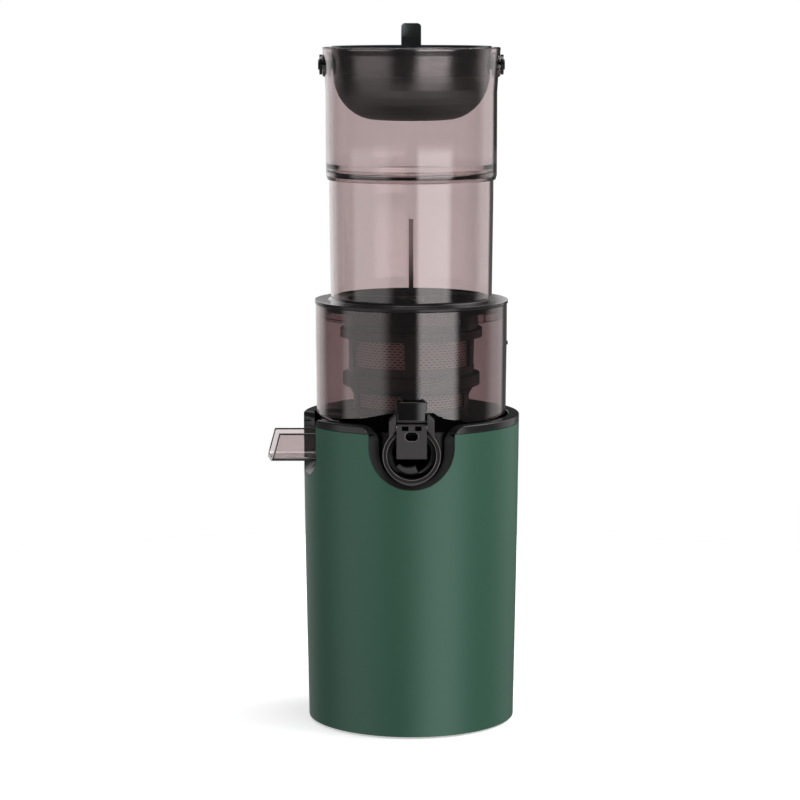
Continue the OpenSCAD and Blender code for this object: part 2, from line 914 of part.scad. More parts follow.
module auger() {
    len_z = rim_z0 + 2 - screw_z;
    color(black)
        difference() {
            union() {
                translate([0, 0, screw_z])
                    linear_extrude(len_z, twist = -screw_twist, slices = 30, scale = 1.05)
                        flight_section(16, screw_r);
                translate([0, 0, rim_z0 + 1])
                    cylinder(r1 = 16.2, r2 = 9, h = screw_top - rim_z0 - 5);
                translate([0, 0, screw_top - 6])
                    cylinder(r = 4, h = 9);
                translate([0, 0, rim_z0 + 1.5])
                    rotate([0, 0, 30])
                        box([0, -2.5, 0], [31, 2.5, screw_top - rim_z0 - 5.5]);
            }
            translate([0, 0, screw_z - 1])
                cylinder(r = 10, h = 17.3);
        }
}

module auger_insert() {
    color(steel)
        translate([0, 0, screw_z + 0.2])
            difference() {
                cylinder(r = 10, h = 15.8);
                translate([0, 0, -1])
                    cylinder(r = (hex_af + 0.3) / sqrt(3), h = 15.5, $fn = 6);
            }
}

module lid() {
    low = bowl_rim_z - 8.6;
    color(smoke)
        rotate_extrude()
            polygon([[bowl_r + 0.6, lid_z], [bowl_r + 0.6, lid_z + lid_t - 0.5],
                [bowl_r + 0.1, lid_z + lid_t], [tube_r + 1, lid_z + lid_t],
                [tube_r - 0.7, lid_z + lid_t + 1.7], [tube_r, tube_top - 16], [tube_r, tube_top],
                [tube_r - tube_t, tube_top], [tube_r - tube_t - 0.6, lid_z],
                [bowl_r - bowl_t - 2.7, lid_z - eps], [bowl_r - bowl_t - 2.7, low],
                [bowl_r - bowl_t - 0.6, low], [bowl_r - bowl_t - 0.6, lid_z]]);
}

module lid_gasket() {
    color([0.1, 0.1, 0.1])
        ring(bowl_r - bowl_t - 2.9, bowl_r - bowl_t - 5.2, lid_z - 3.5, lid_z - 0.2);
}

module feed_guide() {
    top = lid_z + 3.2;
    r_out = tube_r - tube_t - 0.9;
    r_low = strainer_r + 1.8;
    color(black)
        difference() {
            union() {
                ring(r_out, r_low - 2, lid_z + 1.2, top);
                ring(r_low, r_low - 2, rim_z0 + 4.8, lid_z + 1.3);
                translate([0, 0, screw_top - 1.6])
                    cylinder(r = 9, h = top - screw_top + 1.6);
                for (a = [40, 160, 280])
                    rotate([0, 0, a])
                        box([8, -2.2, screw_top - 1.6], [r_low - 1, 2.2, top]);
                intersection() {
                    translate([0, 0, screw_top - 1.2])
                        cylinder(r = r_low - 1, h = 3);
                    box([-60, 4, 0], [60, 60, 500]);
                }
                fin();
            }
            translate([0, 0, screw_top - 8])
                cylinder(r = 4 + run_gap, h = 20);
        }
}

// Upright rib on the back of the tube that stops the fruit from turning
module fin() {
    translate([-1.5, 0, 0])
        rotate([90, 0, 90])
            linear_extrude(3)
                polygon([[tube_r - tube_t - 14, lid_z + 2.5], [tube_r - tube_t - 1.2, lid_z + 2.5],
                    [tube_r - tube_t - 1.2, lid_z + 49], [tube_r - tube_t - 3, lid_z + 49]]);
}

module hopper() {
    color(smoke)
        difference() {
            union() {
                rotate_extrude()
                    polygon([[hopper_r - tube_t + 0.3, hopper_low], [hopper_r - 1, hopper_low],
                        [hopper_r, hopper_low + 2.6], [hopper_r, tube_top + 8],
                        [hopper_r + 0.5, pivot_z - 21], [hopper_r + 1, pivot_z - 9],
                        [hopper_r + 2, hopper_top - 1], [hopper_r + 2, hopper_top],
                        [hopper_r + 2 - tube_t, hopper_top], [hopper_r + 1.1 - tube_t, pivot_z - 9],
                        [hopper_r + 0.5 - tube_t, pivot_z - 21], [hopper_r - tube_t, tube_top + 12],
                        [hopper_r - tube_t - 1.6, tube_top + 2.2], [hopper_r - tube_t - 1.6, tube_top + 0.2],
                        [hopper_r - tube_t + 0.3, tube_top + 0.2]]);
                for (s = [-1, 1])
                    along_x(s > 0 ? hopper_r + 0.2 - tube_t + 1 : -cap_x, s > 0 ? cap_x : -hopper_r - 1.2 + tube_t,
                        0, pivot_z, 7.5);
            }
            along_x(-80, 80, 0, pivot_z, pivot_r + run_gap);
        }
}

// Half profile of the bucket: a bowl about the pivot with a flattened floor
function bucket_curve(inset) = let (d = bucket_depth - inset, r = bucket_r - inset) concat(
    [[0, pivot_z - d]],
    [for (i = [0:9]) let (t = 90 * i / 9)
        [r * (0.44 + 0.54 * sin(t)), pivot_z - d + (d - 5) * (1 - cos(t))]]);

module gate_bucket() {
    rim = hopper_top + 0.7;
    color(black)
        difference() {
            union() {
                difference() {
                    rotate_extrude()
                        polygon(concat(bucket_curve(0), [[bucket_r, pivot_z + 6], [bucket_r, rim], [0, rim]]));
                    rotate_extrude()
                        polygon(concat(bucket_curve(bucket_t),
                            [[bucket_r - bucket_t, pivot_z + 6], [bucket_r - bucket_t, rim + 1], [0, rim + 1]]));
                }
                intersection() {
                    ring(bucket_r, bucket_r - 2.2, rim - 4, rim + tab_h + 1);
                    tab_shape(rim);
                }
            }
            along_x(-80, 80, 0, pivot_z, pivot_r);
        }
}

module tab_shape(rim) {
    translate([0, 60, 0])
        rotate([90, 0, 0])
            linear_extrude(30)
                union() {
                    translate([-tab_w / 2, rim - 4])
                        square([tab_w, tab_h + 1.5]);
                    translate([-tab_w / 2 + 2.5, rim])
                        square([tab_w - 5, tab_h]);
                    for (s = [-1, 1])
                        translate([s * (tab_w / 2 - 2.5), rim + tab_h - 2.5])
                            circle(2.5);
                }
}

module gate_pins() {
    color(black)
        for (s = [-1, 1])
            mirror([s > 0 ? 0 : 1, 0, 0])
                union() {
                    along_x(bucket_r - bucket_t - 1, cap_x + 1, 0, pivot_z, pivot_r);
                    along_x(cap_x + 0.3, cap_x + 2, 0, pivot_z, 6.2);
                    along_x(cap_x + 1, cap_x + 2.8, 0, pivot_z, 3.1);
                }
}

outer_shell();
collar();
deck();
base_plate();
foot_ring();
base_screws();
gearbox_case();
gearbox_cover();
gearbox_screws();
motor_case();
motor_endcap();
stator();
motor_bearings();
control_board();
board_parts();
switch_frame();
cord_gland();
shaft_seal();
shaft_bush();
idler_pin();
rotor();
motor_shaft();
motor_pinion();
idler_gear();
drive_gear();
drive_shaft();
rocker();
bowl();
bowl_floor();
bowl_base();
juice_spout();
outlet_ring();
outlet_sleeve();
outlet_bracket();
flap_pin();
outlet_flap();
strainer_frame();
strainer_mesh();
bowl_seal();
auger();
auger_insert();
lid();
lid_gasket();
feed_guide();
hopper();
gate_bucket();
gate_pins();
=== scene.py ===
"""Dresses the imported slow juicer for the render: finishes, refined visible pieces, light and camera."""

import json
import math

import bmesh
import bpy
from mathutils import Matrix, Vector

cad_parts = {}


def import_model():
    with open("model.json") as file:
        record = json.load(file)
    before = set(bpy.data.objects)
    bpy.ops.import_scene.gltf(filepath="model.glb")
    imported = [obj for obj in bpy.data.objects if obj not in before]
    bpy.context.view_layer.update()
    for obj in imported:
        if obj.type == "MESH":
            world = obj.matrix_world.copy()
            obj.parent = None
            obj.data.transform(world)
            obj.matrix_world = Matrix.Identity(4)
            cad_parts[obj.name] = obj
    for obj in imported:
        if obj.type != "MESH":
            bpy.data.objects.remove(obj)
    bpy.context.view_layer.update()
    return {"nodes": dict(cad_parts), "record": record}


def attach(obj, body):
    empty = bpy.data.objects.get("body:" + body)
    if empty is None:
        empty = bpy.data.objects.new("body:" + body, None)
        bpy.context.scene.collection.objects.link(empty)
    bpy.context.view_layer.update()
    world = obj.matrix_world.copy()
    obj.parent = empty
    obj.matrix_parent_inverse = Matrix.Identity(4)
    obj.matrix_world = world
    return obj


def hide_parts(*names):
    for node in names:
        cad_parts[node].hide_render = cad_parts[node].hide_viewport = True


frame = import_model()
nodes = frame["nodes"]
MM = 0.001

# Camera, worked out from the ellipses of the rims in the photograph
CAMERA_PLACE = (-7.1 * MM, -1749.4 * MM, 450 * MM)
CAMERA_TILT = 8.05
LENS = 126
SENSOR = 36

# Base, as in the part; sizes and places are in millimetres unless a comment says metres
FOOT_R = 65.1
RIM_R = 68
RIM_Z = 195
SEAM_Z = RIM_Z - 5
WELL_R = RIM_R - 7
COLLAR_LOW = 152
TRIM_LOW = 156

# Bowl, lid, feed tube and hopper
BOWL_R = WELL_R - 1
LID_Z = 264.5
LID_TOP = LID_Z + 2.3
FLANGE_R = BOWL_R + 0.6
SKIRT_IN = 54.8
SKIRT_OUT = 56.9
SKIRT_Z = LID_Z - 8.9
TUBE_FOOT_R = 50.6
TUBE_R = 51.2
TUBE_T = 2
TUBE_TOP = LID_TOP + 80
HOPPER_R = 53.3
HOPPER_TOP = TUBE_TOP + 76.7
PIVOT_Z = HOPPER_TOP - 10.7

# Outlet with its flap and hinge block, and the juice spout
OUTLET_Z = RIM_Z - 16.7
OUTLET_R = 17.7
OUTLET_BORE = 14.9
OUTLET_FRONT = 70.5
PIN_Y = -69
PIN_Z = RIM_Z
FLAP_FRONT = -73.1
FLAP_HALF = 9.2
FLAP_LOW = PIN_Z - 18.5
SPOUT_END = -89
SPOUT_Y = -15
SPOUT_Z = RIM_Z - 27.6
SPOUT_H = 17.8
SPOUT_HALF = 12.5

# Normal of the plane that ends the spout
SPOUT_SLANT = (0.954, 0.151, -0.259)

# Notches in the collar: half width, corner radius, lowest point and flare of the outer and the inner edge
SIDE_NOTCH_SHIFT = 15
FRONT_OUT = (26.2, 25.7, RIM_Z - 38.6, 7)
FRONT_IN = (19.5, 19.5, RIM_Z - 36.2, 11)
SIDE_OUT = (17.6, 13, RIM_Z - 36.6, 3)
SIDE_IN = (13.2, 9, RIM_Z - 31.2, 4)
NOTCHES = (("front", FRONT_OUT, FRONT_IN, 0, 0), ("side", SIDE_OUT, SIDE_IN, SIDE_NOTCH_SHIFT, -90))

# Raised lines of the lid's lock pockets: two azimuths and two depths below the flange each
POCKET_LINES = (
    (-72, -22, 1.3, 0.7), (-72, -24, 7.5, 6.9), (-24.4, -23.4, 7.5, 0.7),
    (-34, -33.2, 5.0, 1.3), (24, 30, 5.9, 5.3), (30, 31, 7.9, 5.3),
    (50, 79, 3.9, 3.3), (50, 79, 8.5, 7.9), (50, 51, 8.5, 3.3),
)

# Upper edge of the arch of painted shade behind the outlet: azimuth, and rise above its ends
SHADE_ARCH_CREST = ((-46, 0), (-31, 1.4), (-25, 2.7), (-18, 4.4), (-14, 5.3), (0, 6), (13, 5.8), (16, 4), (20, 2),
              (26, 0.7), (34, 0))

# Slots in the strainer's mesh: radius of the mesh, pitch round it, pitch up it, width and height
MESH_R = 37
SLOT_PITCH = 3.5
SLOT_RISE = 1.6
SLOT_SIZE = (2.2, 0.6)

# Where finishes change and light is painted in: heights on the bucket, whose roughness changes, heights on
# the feed guide and the collar, where painted light fades in, and distances from the middle of the flange,
# where a painted backdrop fades in, which are shortened by a factor at its right
BUCKET_FADE = (380, 416)
GUIDE_LIGHT_HEIGHTS = (266, 300)
TRIM_HIGHLIGHT_HEIGHTS = (SEAM_Z - 4, SEAM_Z + 2)
FLANGE_BACKDROP_SPAN = (40, 53)
FLANGE_RIGHT = 0.87

# Floor: radius in metres, and how brightly the camera and rays through clear plastic see it
FLOOR_R = 0.62
FLOOR_SEEN = 0.5
FLOOR_THROUGH = 0.1

# Lamps: name, place and size in metres, power, and whether they show in reflections; what they point at
LAMPS = (
    ("key_right", (0.9, -1.4, 0.7), (0.8, 1.6), 5.5, False),
    ("fill_left", (-1.5, -0.6, 0.5), (0.9, 1.6), 5, False),
    ("top", (0, -0.1, 1.7), (0.7, 0.7), 6, True),
)
LAMP_AIM = (0, 0, 0.2)

# What reflections meet: azimuths in degrees from the camera towards +X, elevations, and strengths
KEY_EDGES = (4, 13, 50, 62)
KEY_STRENGTH = 3.2
FILL_EDGES = (-96, -82, -40, -22)
FILL_STRENGTH = 1.2
CARD_TOP = (-3.1, -2.8)
CARD_FADE = (-60, -8)
OVERHEAD = (62, 78)
OVERHEAD_STRENGTH = 1.5
HIGH_CARD = (50, 65, 115, 130)
HIGH_CARD_RISE = (24, 33, 50, 58)
HIGH_CARD_STRENGTH = 5
BACKDROP_RIGHT = (98, 118, 138, 150)
BACKDROP_LEFT = (-179, -170, -138, -120)
BACKDROP_FADE = (-16, -5)
BACKDROP_LOW = 0.2
ROOM = 0.12
GROUND_GLOW = 0.1
GROUND_DIM = 0.4

# Light through clear plastic comes from the bright backdrop, not from straight above or below
BACKDROP_SINE = (0.5, 0.8)
STEEP_LIGHT = 0.04

# Grain of a finish: scale, strength and depth of the bump, and spread of the roughness
FINE_GRAIN = (1500, 0.01, 0.00001, 0.02)
MOULDED_GRAIN = (1500, 0.02, 0.00002, 0.03)
RUBBER_GRAIN = (1200, 0.2, 0.00005, 0.05)

# Nodes that wear a finish of their own instead of that of their slot
OWN_FINISHES = {
    "bowl": "smoke_bowl",
    "juice_spout": "smoke_spout",
    "gate_bucket": "black_satin",
    "feed_guide": "guide_black",
    "strainer_frame": "strainer_black",
    "auger": "strainer_black",
    "bowl_base": "block_black",
}

# Nodes whose edges are rounded, and by how much
ROUNDED = {
    "outlet_sleeve": 0.3,
    "strainer_frame": 0.4,
    "gate_bucket": 0.35,
    "gate_pins": 0.6,
    "bowl_base": 0.4,
    "feed_guide": 0.5,
}


def camera():
    """The photograph's camera."""
    data = bpy.data.cameras.new("camera")
    data.lens = LENS
    data.sensor_width = SENSOR
    data.clip_start = 0.01
    obj = bpy.data.objects.new("camera", data)
    obj.location = CAMERA_PLACE
    obj.rotation_euler = (math.radians(90 - CAMERA_TILT), 0, 0)
    bpy.context.scene.collection.objects.link(obj)
    bpy.context.scene.camera = obj


def soft_light(name, place, size, power, reflected):
    """A lamp that lights the surfaces softly, unseen by the camera and through clear plastic."""
    data = bpy.data.lights.new(name, "AREA")
    data.shape = "RECTANGLE"
    data.size, data.size_y = size
    data.energy = power
    obj = bpy.data.objects.new(name, data)
    obj.location = place
    obj.rotation_euler = (Vector(LAMP_AIM) - Vector(place)).to_track_quat("-Z", "Y").to_euler()
    obj.visible_camera = False
    obj.visible_transmission = False
    obj.visible_glossy = reflected
    bpy.context.scene.collection.objects.link(obj)


def floor():
    """A pale round floor that keeps a faint shadow of the object."""
    mesh = bpy.data.meshes.new("floor")
    bm = bmesh.new()
    bmesh.ops.create_circle(bm, cap_ends=True, segments=96, radius=FLOOR_R)
    bm.to_mesh(mesh)
    bm.free()
    obj = bpy.data.objects.new("floor", mesh)
    bpy.context.scene.collection.objects.link(obj)
    obj.visible_glossy = False
    obj.visible_diffuse = False
    mat = principled("pale_floor", (0.8, 0.8, 0.8), 1.0, specular_ior_level=0.0, emission_color=(1, 1, 1, 1))
    tree = mat.node_tree
    path = tree.nodes.new("ShaderNodeLightPath")
    seen = calculate(tree, "MULTIPLY", path.outputs["Is Camera Ray"], FLOOR_SEEN)
    through = calculate(tree, "MULTIPLY", path.outputs["Is Transmission Ray"], FLOOR_THROUGH)
    glow = calculate(tree, "ADD", seen, through)
    tree.links.new(glow, tree.nodes["Principled BSDF"].inputs["Emission Strength"])
    obj.data.materials.append(mat)


def calculate(tree, operation, *values):
    """Adds a Math node over numbers and sockets, and gives its output."""
    node = tree.nodes.new("ShaderNodeMath")
    node.operation = operation
    for socket, value in zip(node.inputs, values):
        if isinstance(value, (int, float)):
            socket.default_value = value
        else:
            tree.links.new(value, socket)
    return node.outputs[0]


def soft_step(tree, value, start, end, low=0.0, high=1.0):
    """Runs smoothly from low to high while the value runs from start to end."""
    node = tree.nodes.new("ShaderNodeMapRange")
    node.interpolation_type = "SMOOTHSTEP"
    for name, number in zip(("From Min", "From Max", "To Min", "To Max"), (start, end, low, high)):
        node.inputs[name].default_value = number
    tree.links.new(value, node.inputs["Value"])
    return node.outputs["Result"]


def soft_window(tree, value, edges):
    """One between the inner two edges, zero outside the outer two."""
    rise = soft_step(tree, value, edges[0], edges[1])
    fall = soft_step(tree, value, edges[2], edges[3], 1.0, 0.0)
    return calculate(tree, "MULTIPLY", rise, fall)


def room(tree, azimuth, elevation):
    """What reflections meet: two cards, the backdrop at both sides, the ground, and light from above."""
    key = calculate(tree, "MULTIPLY", soft_window(tree, azimuth, KEY_EDGES), KEY_STRENGTH)
    fill = calculate(tree, "MULTIPLY", soft_window(tree, azimuth, FILL_EDGES), FILL_STRENGTH)
    low = soft_step(tree, elevation, *CARD_TOP, 1.0, 0.0)
    low = calculate(tree, "MULTIPLY", low, soft_step(tree, elevation, *CARD_FADE))
    cards = calculate(tree, "MULTIPLY", calculate(tree, "ADD", key, fill), low)
    right = soft_window(tree, azimuth, BACKDROP_RIGHT)
    left = soft_window(tree, azimuth, BACKDROP_LEFT)
    backdrop = calculate(tree, "MULTIPLY", calculate(tree, "ADD", right, left),
                         soft_step(tree, elevation, *BACKDROP_FADE, BACKDROP_LOW, 1.0 - ROOM))
    ground = calculate(tree, "MULTIPLY", soft_step(tree, elevation, *CARD_FADE, ROOM + GROUND_GLOW, ROOM),
                       soft_step(tree, elevation, *CARD_TOP, 1.0, GROUND_DIM))
    overhead = soft_step(tree, elevation, *OVERHEAD, 0.0, OVERHEAD_STRENGTH)
    high = calculate(tree, "MULTIPLY", soft_window(tree, azimuth, HIGH_CARD),
                     soft_window(tree, elevation, HIGH_CARD_RISE))
    high = calculate(tree, "MULTIPLY", high, HIGH_CARD_STRENGTH)
    around = calculate(tree, "ADD", cards, backdrop)
    for part in (ground, overhead, high):
        around = calculate(tree, "ADD", around, part)
    return around


def world():
    """White to the eye and through clear plastic; reflections meet soft cards in a dark room."""
    studio = bpy.data.worlds.new("studio")
    bpy.context.scene.world = studio
    studio.use_nodes = True
    tree = studio.node_tree
    tree.nodes.clear()
    coords = tree.nodes.new("ShaderNodeTexCoord")
    split = tree.nodes.new("ShaderNodeSeparateXYZ")
    tree.links.new(coords.outputs["Generated"], split.inputs[0])
    toward = calculate(tree, "MULTIPLY", split.outputs["Y"], -1.0)
    azimuth = calculate(tree, "DEGREES", calculate(tree, "ARCTAN2", split.outputs["X"], toward))
    elevation = calculate(tree, "DEGREES", calculate(tree, "ARCSINE", split.outputs["Z"]))
    around = room(tree, azimuth, elevation)

    steep = calculate(tree, "ABSOLUTE", split.outputs["Z"])
    through = soft_step(tree, steep, *BACKDROP_SINE, 1.0, STEEP_LIGHT)
    path = tree.nodes.new("ShaderNodeLightPath")
    direct = path.outputs["Is Camera Ray"]
    plain = calculate(tree, "LESS_THAN", path.outputs["Glossy Depth"], 0.5)
    straight = calculate(tree, "MULTIPLY", path.outputs["Is Transmission Ray"], plain)
    seen = calculate(tree, "MAXIMUM", calculate(tree, "MULTIPLY", straight, through), direct)
    other = calculate(tree, "MULTIPLY", calculate(tree, "SUBTRACT", 1.0, straight), around)
    other = calculate(tree, "MULTIPLY", other, calculate(tree, "SUBTRACT", 1.0, direct))
    light = tree.nodes.new("ShaderNodeBackground")
    light.inputs["Color"].default_value = (1, 1, 1, 1)
    tree.links.new(calculate(tree, "ADD", seen, other), light.inputs["Strength"])
    out = tree.nodes.new("ShaderNodeOutputWorld")
    tree.links.new(light.outputs[0], out.inputs["Surface"])


def principled(name, colour, roughness, **more):
    """A Principled material; other inputs are given by their names in lower case with underscores."""
    mat = bpy.data.materials.new(name)
    mat.use_nodes = True
    shader = mat.node_tree.nodes["Principled BSDF"]
    shader.inputs["Base Color"].default_value = (*colour, 1)
    shader.inputs["Roughness"].default_value = roughness
    for key, value in more.items():
        shader.inputs[key.replace("_", " ").title().replace("Ior", "IOR")].default_value = value
    return mat


def object_axes(tree):
    """The object coordinates as separate X, Y and Z sockets."""
    coords = tree.nodes.new("ShaderNodeTexCoord")
    split = tree.nodes.new("ShaderNodeSeparateXYZ")
    tree.links.new(coords.outputs["Object"], split.inputs[0])
    return split.outputs


def add_noise(tree, scale, detail, stretch=(1, 1, 1)):
    """Noise over the object coordinates."""
    coords = tree.nodes.new("ShaderNodeTexCoord")
    mapping = tree.nodes.new("ShaderNodeMapping")
    mapping.inputs["Scale"].default_value = stretch
    tree.links.new(coords.outputs["Object"], mapping.inputs["Vector"])
    noise = tree.nodes.new("ShaderNodeTexNoise")
    noise.inputs["Scale"].default_value = scale
    noise.inputs["Detail"].default_value = detail
    tree.links.new(mapping.outputs["Vector"], noise.inputs["Vector"])
    return noise.outputs["Fac"]


def add_bump(tree, height, strength, distance, invert=False):
    """Lets a socket's value raise the surface or, inverted, sink it."""
    bump = tree.nodes.new("ShaderNodeBump")
    bump.invert = invert
    bump.inputs["Strength"].default_value = strength
    bump.inputs["Distance"].default_value = distance
    tree.links.new(height, bump.inputs["Height"])
    tree.links.new(bump.outputs["Normal"], tree.nodes["Principled BSDF"].inputs["Normal"])


def add_grain(mat, scale, strength, distance, spread=0.0, stretch=(1, 1, 1)):
    """Fine noise in the bump of a material and, with spread, in its roughness."""
    tree = mat.node_tree
    noise = add_noise(tree, scale, 3, stretch)
    add_bump(tree, noise, strength, distance)
    if spread:
        rough = tree.nodes["Principled BSDF"].inputs["Roughness"]
        span = tree.nodes.new("ShaderNodeMapRange")
        span.inputs["To Min"].default_value = rough.default_value - spread
        span.inputs["To Max"].default_value = rough.default_value + spread
        tree.links.new(noise, span.inputs["Value"])
        tree.links.new(span.outputs["Result"], rough)
    return mat


def blend_colour(mat, first, last, amount):
    """Runs the base colour from the first to the last while a socket runs from 0 to 1."""
    tree = mat.node_tree
    ramp = tree.nodes.new("ShaderNodeValToRGB")
    ramp.color_ramp.elements[0].color = (*first, 1)
    ramp.color_ramp.elements[1].color = (*last, 1)
    tree.links.new(amount, ramp.inputs["Fac"])
    tree.links.new(ramp.outputs["Color"], tree.nodes["Principled BSDF"].inputs["Base Color"])
    return mat


def vary_colour(mat, dark, light, scale):
    """Mottles the base colour with noise."""
    return blend_colour(mat, dark, light, add_noise(mat.node_tree, scale, 4))


def paint_light_by_height(mat, low_colour, high_colour, heights):
    """Painted light: blends the base colour from one height to another."""
    tree = mat.node_tree
    low, high = heights
    return blend_colour(mat, low_colour, high_colour,
                        soft_step(tree, object_axes(tree)["Z"], low * MM, high * MM))


def paint_backdrop_on_flange(mat, mid_colour, side_colour):
    """Painted backdrop: blends the colour of the flange's top face towards a pale one at both sides, which
    only have the backdrop behind.
    """
    tree = mat.node_tree
    axes = object_axes(tree)
    near, far = FLANGE_BACKDROP_SPAN
    left = calculate(tree, "MULTIPLY", axes["X"], -1.0)
    side = calculate(tree, "MAXIMUM", left, calculate(tree, "MULTIPLY", axes["X"], FLANGE_RIGHT))
    outer = soft_step(tree, side, near * MM, far * MM)
    upper = soft_step(tree, axes["Z"], (LID_TOP - 0.3) * MM, LID_TOP * MM)
    return blend_colour(mat, mid_colour, side_colour, calculate(tree, "MULTIPLY", outer, upper))


def rough_down(mat, low_rough, high_rough, heights):
    """Makes a finish rougher towards its lower end."""
    tree = mat.node_tree
    low, high = heights
    rough = soft_step(tree, object_axes(tree)["Z"], low * MM, high * MM, low_rough, high_rough)
    tree.links.new(rough, tree.nodes["Principled BSDF"].inputs["Roughness"])
    return mat


def paint_slots(mat):
    """Paints the staggered slots of the strainer's mesh round its axis near black, as painted shade inside
    them, with a bump at their edges.
    """
    tree = mat.node_tree
    colour = tree.nodes["Principled BSDF"].inputs["Base Color"]
    axes = object_axes(tree)
    pitch, rise = SLOT_PITCH * MM, SLOT_RISE * MM
    width, height = (size * MM for size in SLOT_SIZE)
    around = calculate(tree, "MULTIPLY", calculate(tree, "ARCTAN2", axes["Y"], axes["X"]), MESH_R * MM)
    row = calculate(tree, "DIVIDE", axes["Z"], rise)
    odd = calculate(tree, "FLOORED_MODULO", calculate(tree, "FLOOR", row), 2.0)
    stagger = calculate(tree, "MULTIPLY", odd, 0.5)
    column = calculate(tree, "ADD", calculate(tree, "DIVIDE", around, pitch), stagger)

    def from_middle(value, size):
        shifted = calculate(tree, "SUBTRACT", calculate(tree, "FRACT", value), 0.5)
        return calculate(tree, "MULTIPLY", calculate(tree, "ABSOLUTE", shifted), size)

    inside = calculate(tree, "MULTIPLY", calculate(tree, "LESS_THAN", from_middle(column, pitch), width / 2),
                       calculate(tree, "LESS_THAN", from_middle(row, rise), height / 2))
    mix = tree.nodes.new("ShaderNodeMixRGB")
    mix.inputs["Color1"].default_value = colour.default_value
    mix.inputs["Color2"].default_value = (0.02, 0.015, 0.015, 1)
    tree.links.new(inside, mix.inputs["Fac"])
    tree.links.new(mix.outputs["Color"], colour)
    add_bump(tree, inside, 0.6, 0.0003, True)
    return mat


def grained(name, colour, roughness, grain, **more):
    """A finish in one colour with a fine grain."""
    return add_grain(principled(name, colour, roughness, **more), *grain)


def mottled(name, dark, light, scale, roughness, **more):
    """A smooth finish whose colour wanders between a dark and a light one."""
    middle = [(a + b) / 2 for a, b in zip(dark, light)]
    return vary_colour(principled(name, middle, roughness, **more), dark, light, scale)


def clear_plastic(name, tint, depth_tint, depth, ior=1.56):
    """Clear plastic: a tint at its faces, and an absorption that deepens with the wall it crosses."""
    mat = grained(name, tint, 0.02, (60, 0.01, 0.0001), ior=ior, transmission_weight=1.0)
    tree = mat.node_tree
    inside = tree.nodes.new("ShaderNodeVolumeAbsorption")
    inside.inputs["Color"].default_value = (*depth_tint, 1)
    inside.inputs["Density"].default_value = depth
    tree.links.new(inside.outputs["Volume"], tree.nodes["Material Output"].inputs["Volume"])
    return mat


def clear_finishes():
    """The smoky clear pieces, the bowl the darkest."""
    return {
        "smoke_clear": clear_plastic("smoke_clear", (0.74, 0.662, 0.662), (0.86, 0.83, 0.83), 300, 1.5),
        "smoke_bowl": clear_plastic("smoke_bowl", (0.52, 0.437, 0.437), (0.80, 0.75, 0.75), 450),
        "smoke_spout": clear_plastic("smoke_spout", (0.80, 0.74, 0.74), (0.84, 0.80, 0.80), 300),
        "smoke_hopper": clear_plastic("smoke_hopper", (0.76, 0.685, 0.685), (0.86, 0.83, 0.83), 300, 1.5),
    }


def shell_green():
    """Satin green, with highlights that are faintly green too."""
    mat = mottled("green_satin", (0.034, 0.104, 0.068), (0.038, 0.112, 0.073), 900, 0.45,
                  specular_ior_level=0.55, specular_tint=(0.78, 1, 0.93, 1))
    return add_grain(mat, 2600, 0.04, 0.00003, 0.03)


def bucket_black():
    """Satin black of the bucket, whose reflections dissolve towards its round bottom."""
    mat = mottled("black_satin", (0.009, 0.009, 0.009), (0.012, 0.012, 0.012), 120, 0.2,
                  specular_ior_level=1.0, ior=2.0, specular_tint=(0.9, 1, 1, 1))
    return rough_down(mat, 0.6, 0.2, BUCKET_FADE)


def painted_light_finishes():
    """Finishes with light painted into their colour by place: the collar, the lid's flange and the feed
    guide.
    """
    trim = principled("trim_black", (0.03, 0.03, 0.03), 0.25, specular_ior_level=0.4)
    # Painted reflection: the flange is clear smoky plastic, painted dark for the dark parts it reflects
    flange_painted_dark = (0.022, 0.019, 0.019)
    flange = principled("lid_smoke", flange_painted_dark, 0.07, specular_ior_level=0.2)
    guide_black = (0.03, 0.027, 0.027)
    guide = principled("guide_black", guide_black, 0.25)
    return {
        # Painted highlight: the trims of the notches, below these heights, are painted a lighter grey for the
        # light their bevels catch; the top ring stays near black
        "trim_black": paint_light_by_height(trim, (0.065, 0.065, 0.065), (0.015, 0.015, 0.015), TRIM_HIGHLIGHT_HEIGHTS),
        "lid_smoke": paint_backdrop_on_flange(flange, flange_painted_dark, (0.95, 0.92, 0.92)),
        # Painted light: the black feed guide turns pale pink higher up, where the clear tube around it looks
        # bright
        "guide_black": paint_light_by_height(guide, guide_black, (0.85, 0.72, 0.72), GUIDE_LIGHT_HEIGHTS),
    }


